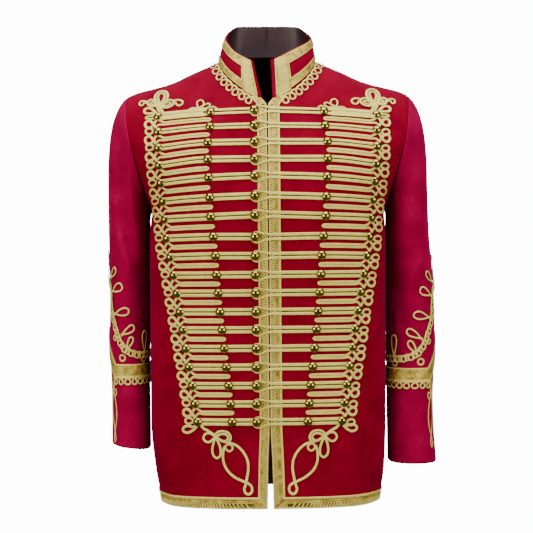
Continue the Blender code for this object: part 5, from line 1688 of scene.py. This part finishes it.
def make_cuff(side, lace, pale, tree):
    """Lace round a sleeve that rises to a point outside, with loops below and petals above."""
    place = on_sleeve(side)
    low = CUFF_BAND[side]
    high = low + CUFF_LACE
    shift = low - CUFF_BAND[RIGHT]
    spot = lambda turn, z: (turn * CUFF_GIRTH, z + shift)
    under = cuff_edge(CUFF_CORNER, low, CUFF_PEAK)
    over = cuff_edge(CUFF_MITRE, high, CUFF_PEAK_TOP - CUFF_LACE)
    strips(f"lace_cuff_{SIDE_NAMES[side]}", [band(place, under, over, 0.0012)], lace)

    cords = Cords()
    for share, width in CUFF_THREADS:
        cords.lay(place, under + (over - under) * share, width, 0.0009)
    ends = (CUFF_CORNER - 0.004) * CUFF_GIRTH, (1 - CUFF_CORNER + 0.004) * CUFF_GIRTH
    along = np.linspace(*ends, 60)
    level = np.full(60, low - CUFF_LOBES_DROP)
    cords.lay(place, curled(np.column_stack([along, level]), **CUFF_LOBES), THIN_CORD)
    mirrored = lambda path, way: [(x if way > 0 else CUFF_GIRTH - x, z) for x, z in path]
    for way in (1, -1):
        for number, (tip_turn, tip_z, root_turn, root_z, width) in enumerate(CUFF_PETALS):
            if way < 0 and tip_turn in (0.500, 0.020):
                continue
            path = teardrop(spot(tip_turn, tip_z), spot(root_turn, root_z), width)
            path = np.column_stack([eased(mirrored(path, way))])
            lift = np.full((len(path), 1), 0.0004 + 0.0003 * (number % 3))
            cords.lay(place, np.hstack([path, lift]), THIN_CORD)
        for turn, z, radius in CUFF_RINGS:
            centre = np.array(spot(turn, z))
            angles = np.linspace(0, 2 * math.pi, 9)[:-1]
            round_it = np.stack([np.cos(angles) * CUFF_STRETCH, np.sin(angles)], axis=-1)
            ring = centre + radius * round_it
            cords.lay(place, eased(mirrored(ring, way), closed=True), RING_WIDTH)
        vine = eased(mirrored([spot(*stop) for stop in CUFF_VINE], way), 0.004)
        for swing, fall, lift in VINE_CORDS:
            loops = curled(vine, VINE_PITCH, swing, fall)
            cords.lay(place, loops + (0.0, 0.0, lift), VINE_WIDTH)
        drop = mirrored([spot(*stop) for stop in DROP_KNOT], way)
        cords.lay(place, eased(drop), DROP_KNOT_WIDTH)
    cords.piece(f"cuff_cords_{SIDE_NAMES[side]}", tree, pale, Height=0.42, Groove=0.3, Sides=8)


ROOM = 4.6  # radius of the backdrop
ROOM_TOP = 3.2
FLOOR_Z = -1.20
BACKDROP_GLOW = 13.0
FLOOR_GLOW = 2.5
FLOOR_REACH = 1.9  # the floor ends below the photograph's view


def make_stage():
    """A pale floor inside a round white backdrop, which is lit from within and lights nothing."""
    floor_paint, _, _ = blank_material(
        "matt white floor paint",
        Base_Color="#f4f4f4",
        Roughness=0.95,
        Specular_IOR_Level=0.1,
        Emission_Color="#ffffff",
        Emission_Strength=FLOOR_GLOW,
    )
    backdrop_paint, _, _ = blank_material(
        "glowing white backdrop cloth",
        Base_Color="#ffffff",
        Roughness=1.0,
        Emission_Color="#ffffff",
        Emission_Strength=BACKDROP_GLOW,
    )
    sides = 48
    angles = np.arange(sides) * 2 * math.pi / sides
    rings = [(FLOOR_REACH, FLOOR_Z), (ROOM, FLOOR_Z), (ROOM, ROOM_TOP), (0.02, 3.6)]
    points = [(out * math.cos(a), out * math.sin(a), z) for out, z in rings for a in angles]
    inwards = [face[::-1] for face in ring_faces(len(rings), sides)]
    wall = bpy.data.meshes.new("studio_backdrop")
    wall.from_pydata(points, [], inwards)
    wall.shade_smooth()
    wall = new_piece("studio_backdrop", wall, backdrop_paint)
    wall.visible_diffuse = wall.visible_glossy = wall.visible_shadow = False
    disc = bpy.data.meshes.new("studio_floor")
    disc.from_pydata(points[:sides], [], [tuple(range(sides))])
    floor = new_piece("studio_floor", disc, floor_paint)
    floor.visible_diffuse = floor.visible_glossy = False


def add_light(name, place, target, size, energy, colour):
    light = bpy.data.lights.new(name, "AREA")
    light.shape = "RECTANGLE"
    light.size, light.size_y = size
    light.energy = energy
    light.color = linear(colour)[:3]
    lamp = bpy.data.objects.new(name, light)
    lamp.location = place
    lamp.rotation_euler = (Vector(target) - Vector(place)).to_track_quat("-Z", "Y").to_euler()
    bpy.context.scene.collection.objects.link(lamp)


LIT_SPOT = (0.0, 0.0, -0.35)  # the middle of the jacket
SOFTBOXES = [  # name, place, size in metres, watts and colour
    ("overhead softbox", (0.0, -0.7, 1.9), (2.8, 2.0), 138, "#ececff"),
    ("left softbox", (-1.75, -1.55, -0.15), (1.4, 1.3), 46, "#fff4e6"),
    ("right softbox", (1.75, -1.55, -0.15), (1.4, 1.3), 41, "#fff4e6"),
    ("back softbox", (0.0, 2.0, 1.8), (2.4, 1.2), 34, "#ececff"),
]
AIR_GLOW = 0.22


def make_light():
    for name, place, size, energy, colour in SOFTBOXES:
        add_light(name, place, LIT_SPOT, size, energy, colour)
    world = bpy.data.worlds.new("studio air")
    world.use_nodes = True
    air = world.node_tree.nodes["Background"]
    air.inputs["Color"].default_value = linear("#e8ecf0")
    air.inputs["Strength"].default_value = AIR_GLOW
    bpy.context.scene.world = world


CAMERA_PLACE = (-0.0035, -2.25, -0.345)
CAMERA_SENSOR = 36.0
CAMERA_LENS = 90.0
CAMERA_ROLL = 0.5  # degrees by which the photograph leans


def make_camera():
    camera = bpy.data.cameras.new("photograph")
    camera.sensor_width = CAMERA_SENSOR
    camera.lens = CAMERA_LENS
    viewer = bpy.data.objects.new("photograph", camera)
    viewer.location = CAMERA_PLACE
    viewer.rotation_euler = (math.pi / 2, math.radians(CAMERA_ROLL), 0.0)
    bpy.context.scene.collection.objects.link(viewer)
    bpy.context.scene.camera = viewer


# Cut of each cloth piece: width and length of the cloth, and the area of its outline. A front
# A front reaches from the centre edge round to the side seam; a sleeve is one piece, joined inside
# the arm.
CLOTHS = ("front_right", "front_left", "back", "sleeve_right", "sleeve_left", "collar")
KNOTS = ("shoulder_knot", "chest_knot", "skirt_knot", "neck_loops")
STANDS_FOR = {f"wool_{cloth}": [cloth] for cloth in CLOTHS}
STANDS_FOR |= {"lace_hem_back": ["hem_lace_back"], "lace_collar": ["collar_lace"]}
for name in SIDE_NAMES.values():
    STANDS_FOR |= {
        f"lace_front_{name}": [f"front_lace_{name}"],
        f"lace_cuff_{name}": [f"cuff_braid_{name}"],
        f"soutache_rows_{name}": [f"frog_{name}_{number + 1:02d}" for number in range(len(ROWS))],
        f"soutache_chain_{name}": [f"frog_edge_{name}"],
        f"soutache_knots_{name}": [f"{knot}_{name}" for knot in KNOTS],
    }


SOUTACHE_TWIST = {"Height": 0.33, "Groove": 0.5, "Sides": 12}


def main():
    make_camera()
    wool = wool_material(
        "crimson wool broadcloth", "#5e0013", "#74001b", "#880025", 0.34, "#c02070"
    )
    # The same wool for the sleeves, painted lighter and more magenta: painted light for the cool
    # light and sheen that the sleeves catch.
    sleeve_wool_painted_light = wool_material(
        "crimson wool broadcloth, painted lighter for the sleeves", "#720024", "#860030", "#9a083e", 0.34, "#c82078"
    )
    lining = lining_material()
    soutache = braid_material(
        "pale gold soutache", "#40340a", "#dccb58", "#f6ea80", 0.0014, 0.20, 0.45
    )
    # Dark olive finish for the strip of painted shadow between the strands of each bar.
    painted_shadow_strip = braid_material("soutache painted shadow strip", "#1c1804", "#3a3410", "#5c5220", 0.0014, 0.0, 0.8)
    bright = braid_material("gold cord", "#40340a", "#d2bf50", "#f2e27a", 0.0012, 0.25, 0.42)
    # Dark brown strip under the lace's ribs: painted shade between them.
    painted_rib_shade = wool_material(
        "painted shade under the ribs", "#241605", "#3a2608", "#4c340e", 0.0, "#806020"
    )
    lace, brass = lace_material(), button_material()
    swept, domes = cord_tree(), dome_tree()

    make_body(wool, lining)
    make_sleeves(sleeve_wool_painted_light, lining)
    make_collar(wool, lining)
    make_collar_lace(lace, bright, swept)
    make_back_lace(lace, painted_rib_shade, bright, swept)
    dome = new_piece("button dome", dome_mesh())
    make_buttons(domes, dome, brass)
    bpy.data.objects.remove(dome)
    for side in (RIGHT, LEFT):
        name = SIDE_NAMES[side]
        make_front_lace(side, lace, painted_rib_shade, bright, swept)
        make_cuff(side, lace, soutache, swept)
        for part, layers in (
            ("rows", (lay_rows,)),
            ("chain", (lay_tongues, lay_chain)),
            ("knots", (lay_knots, lay_neck_loops)),
        ):
            cords = Cords()
            for lay in layers:
                lay(cords, side)
            cords.piece(f"soutache_{part}_{name}", swept, soutache, **SOUTACHE_TWIST)
        # Painted shadow: a dark strip under the two strands of every bar.
        cords = Cords()
        lay_painted_shadow_strips(cords, side)
        cords.piece(f"soutache_cores_{name}", swept, painted_shadow_strip, Height=0.30, Groove=0.0, Sides=8)
    make_stage()
    make_light()

    for piece in list(bpy.context.scene.objects):
        if piece.type != "MESH" or piece.name in frame["nodes"] or piece.name.startswith("studio"):
            continue
        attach(piece, "root")
        if piece.name in STANDS_FOR:
            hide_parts(*STANDS_FOR[piece.name])


main()
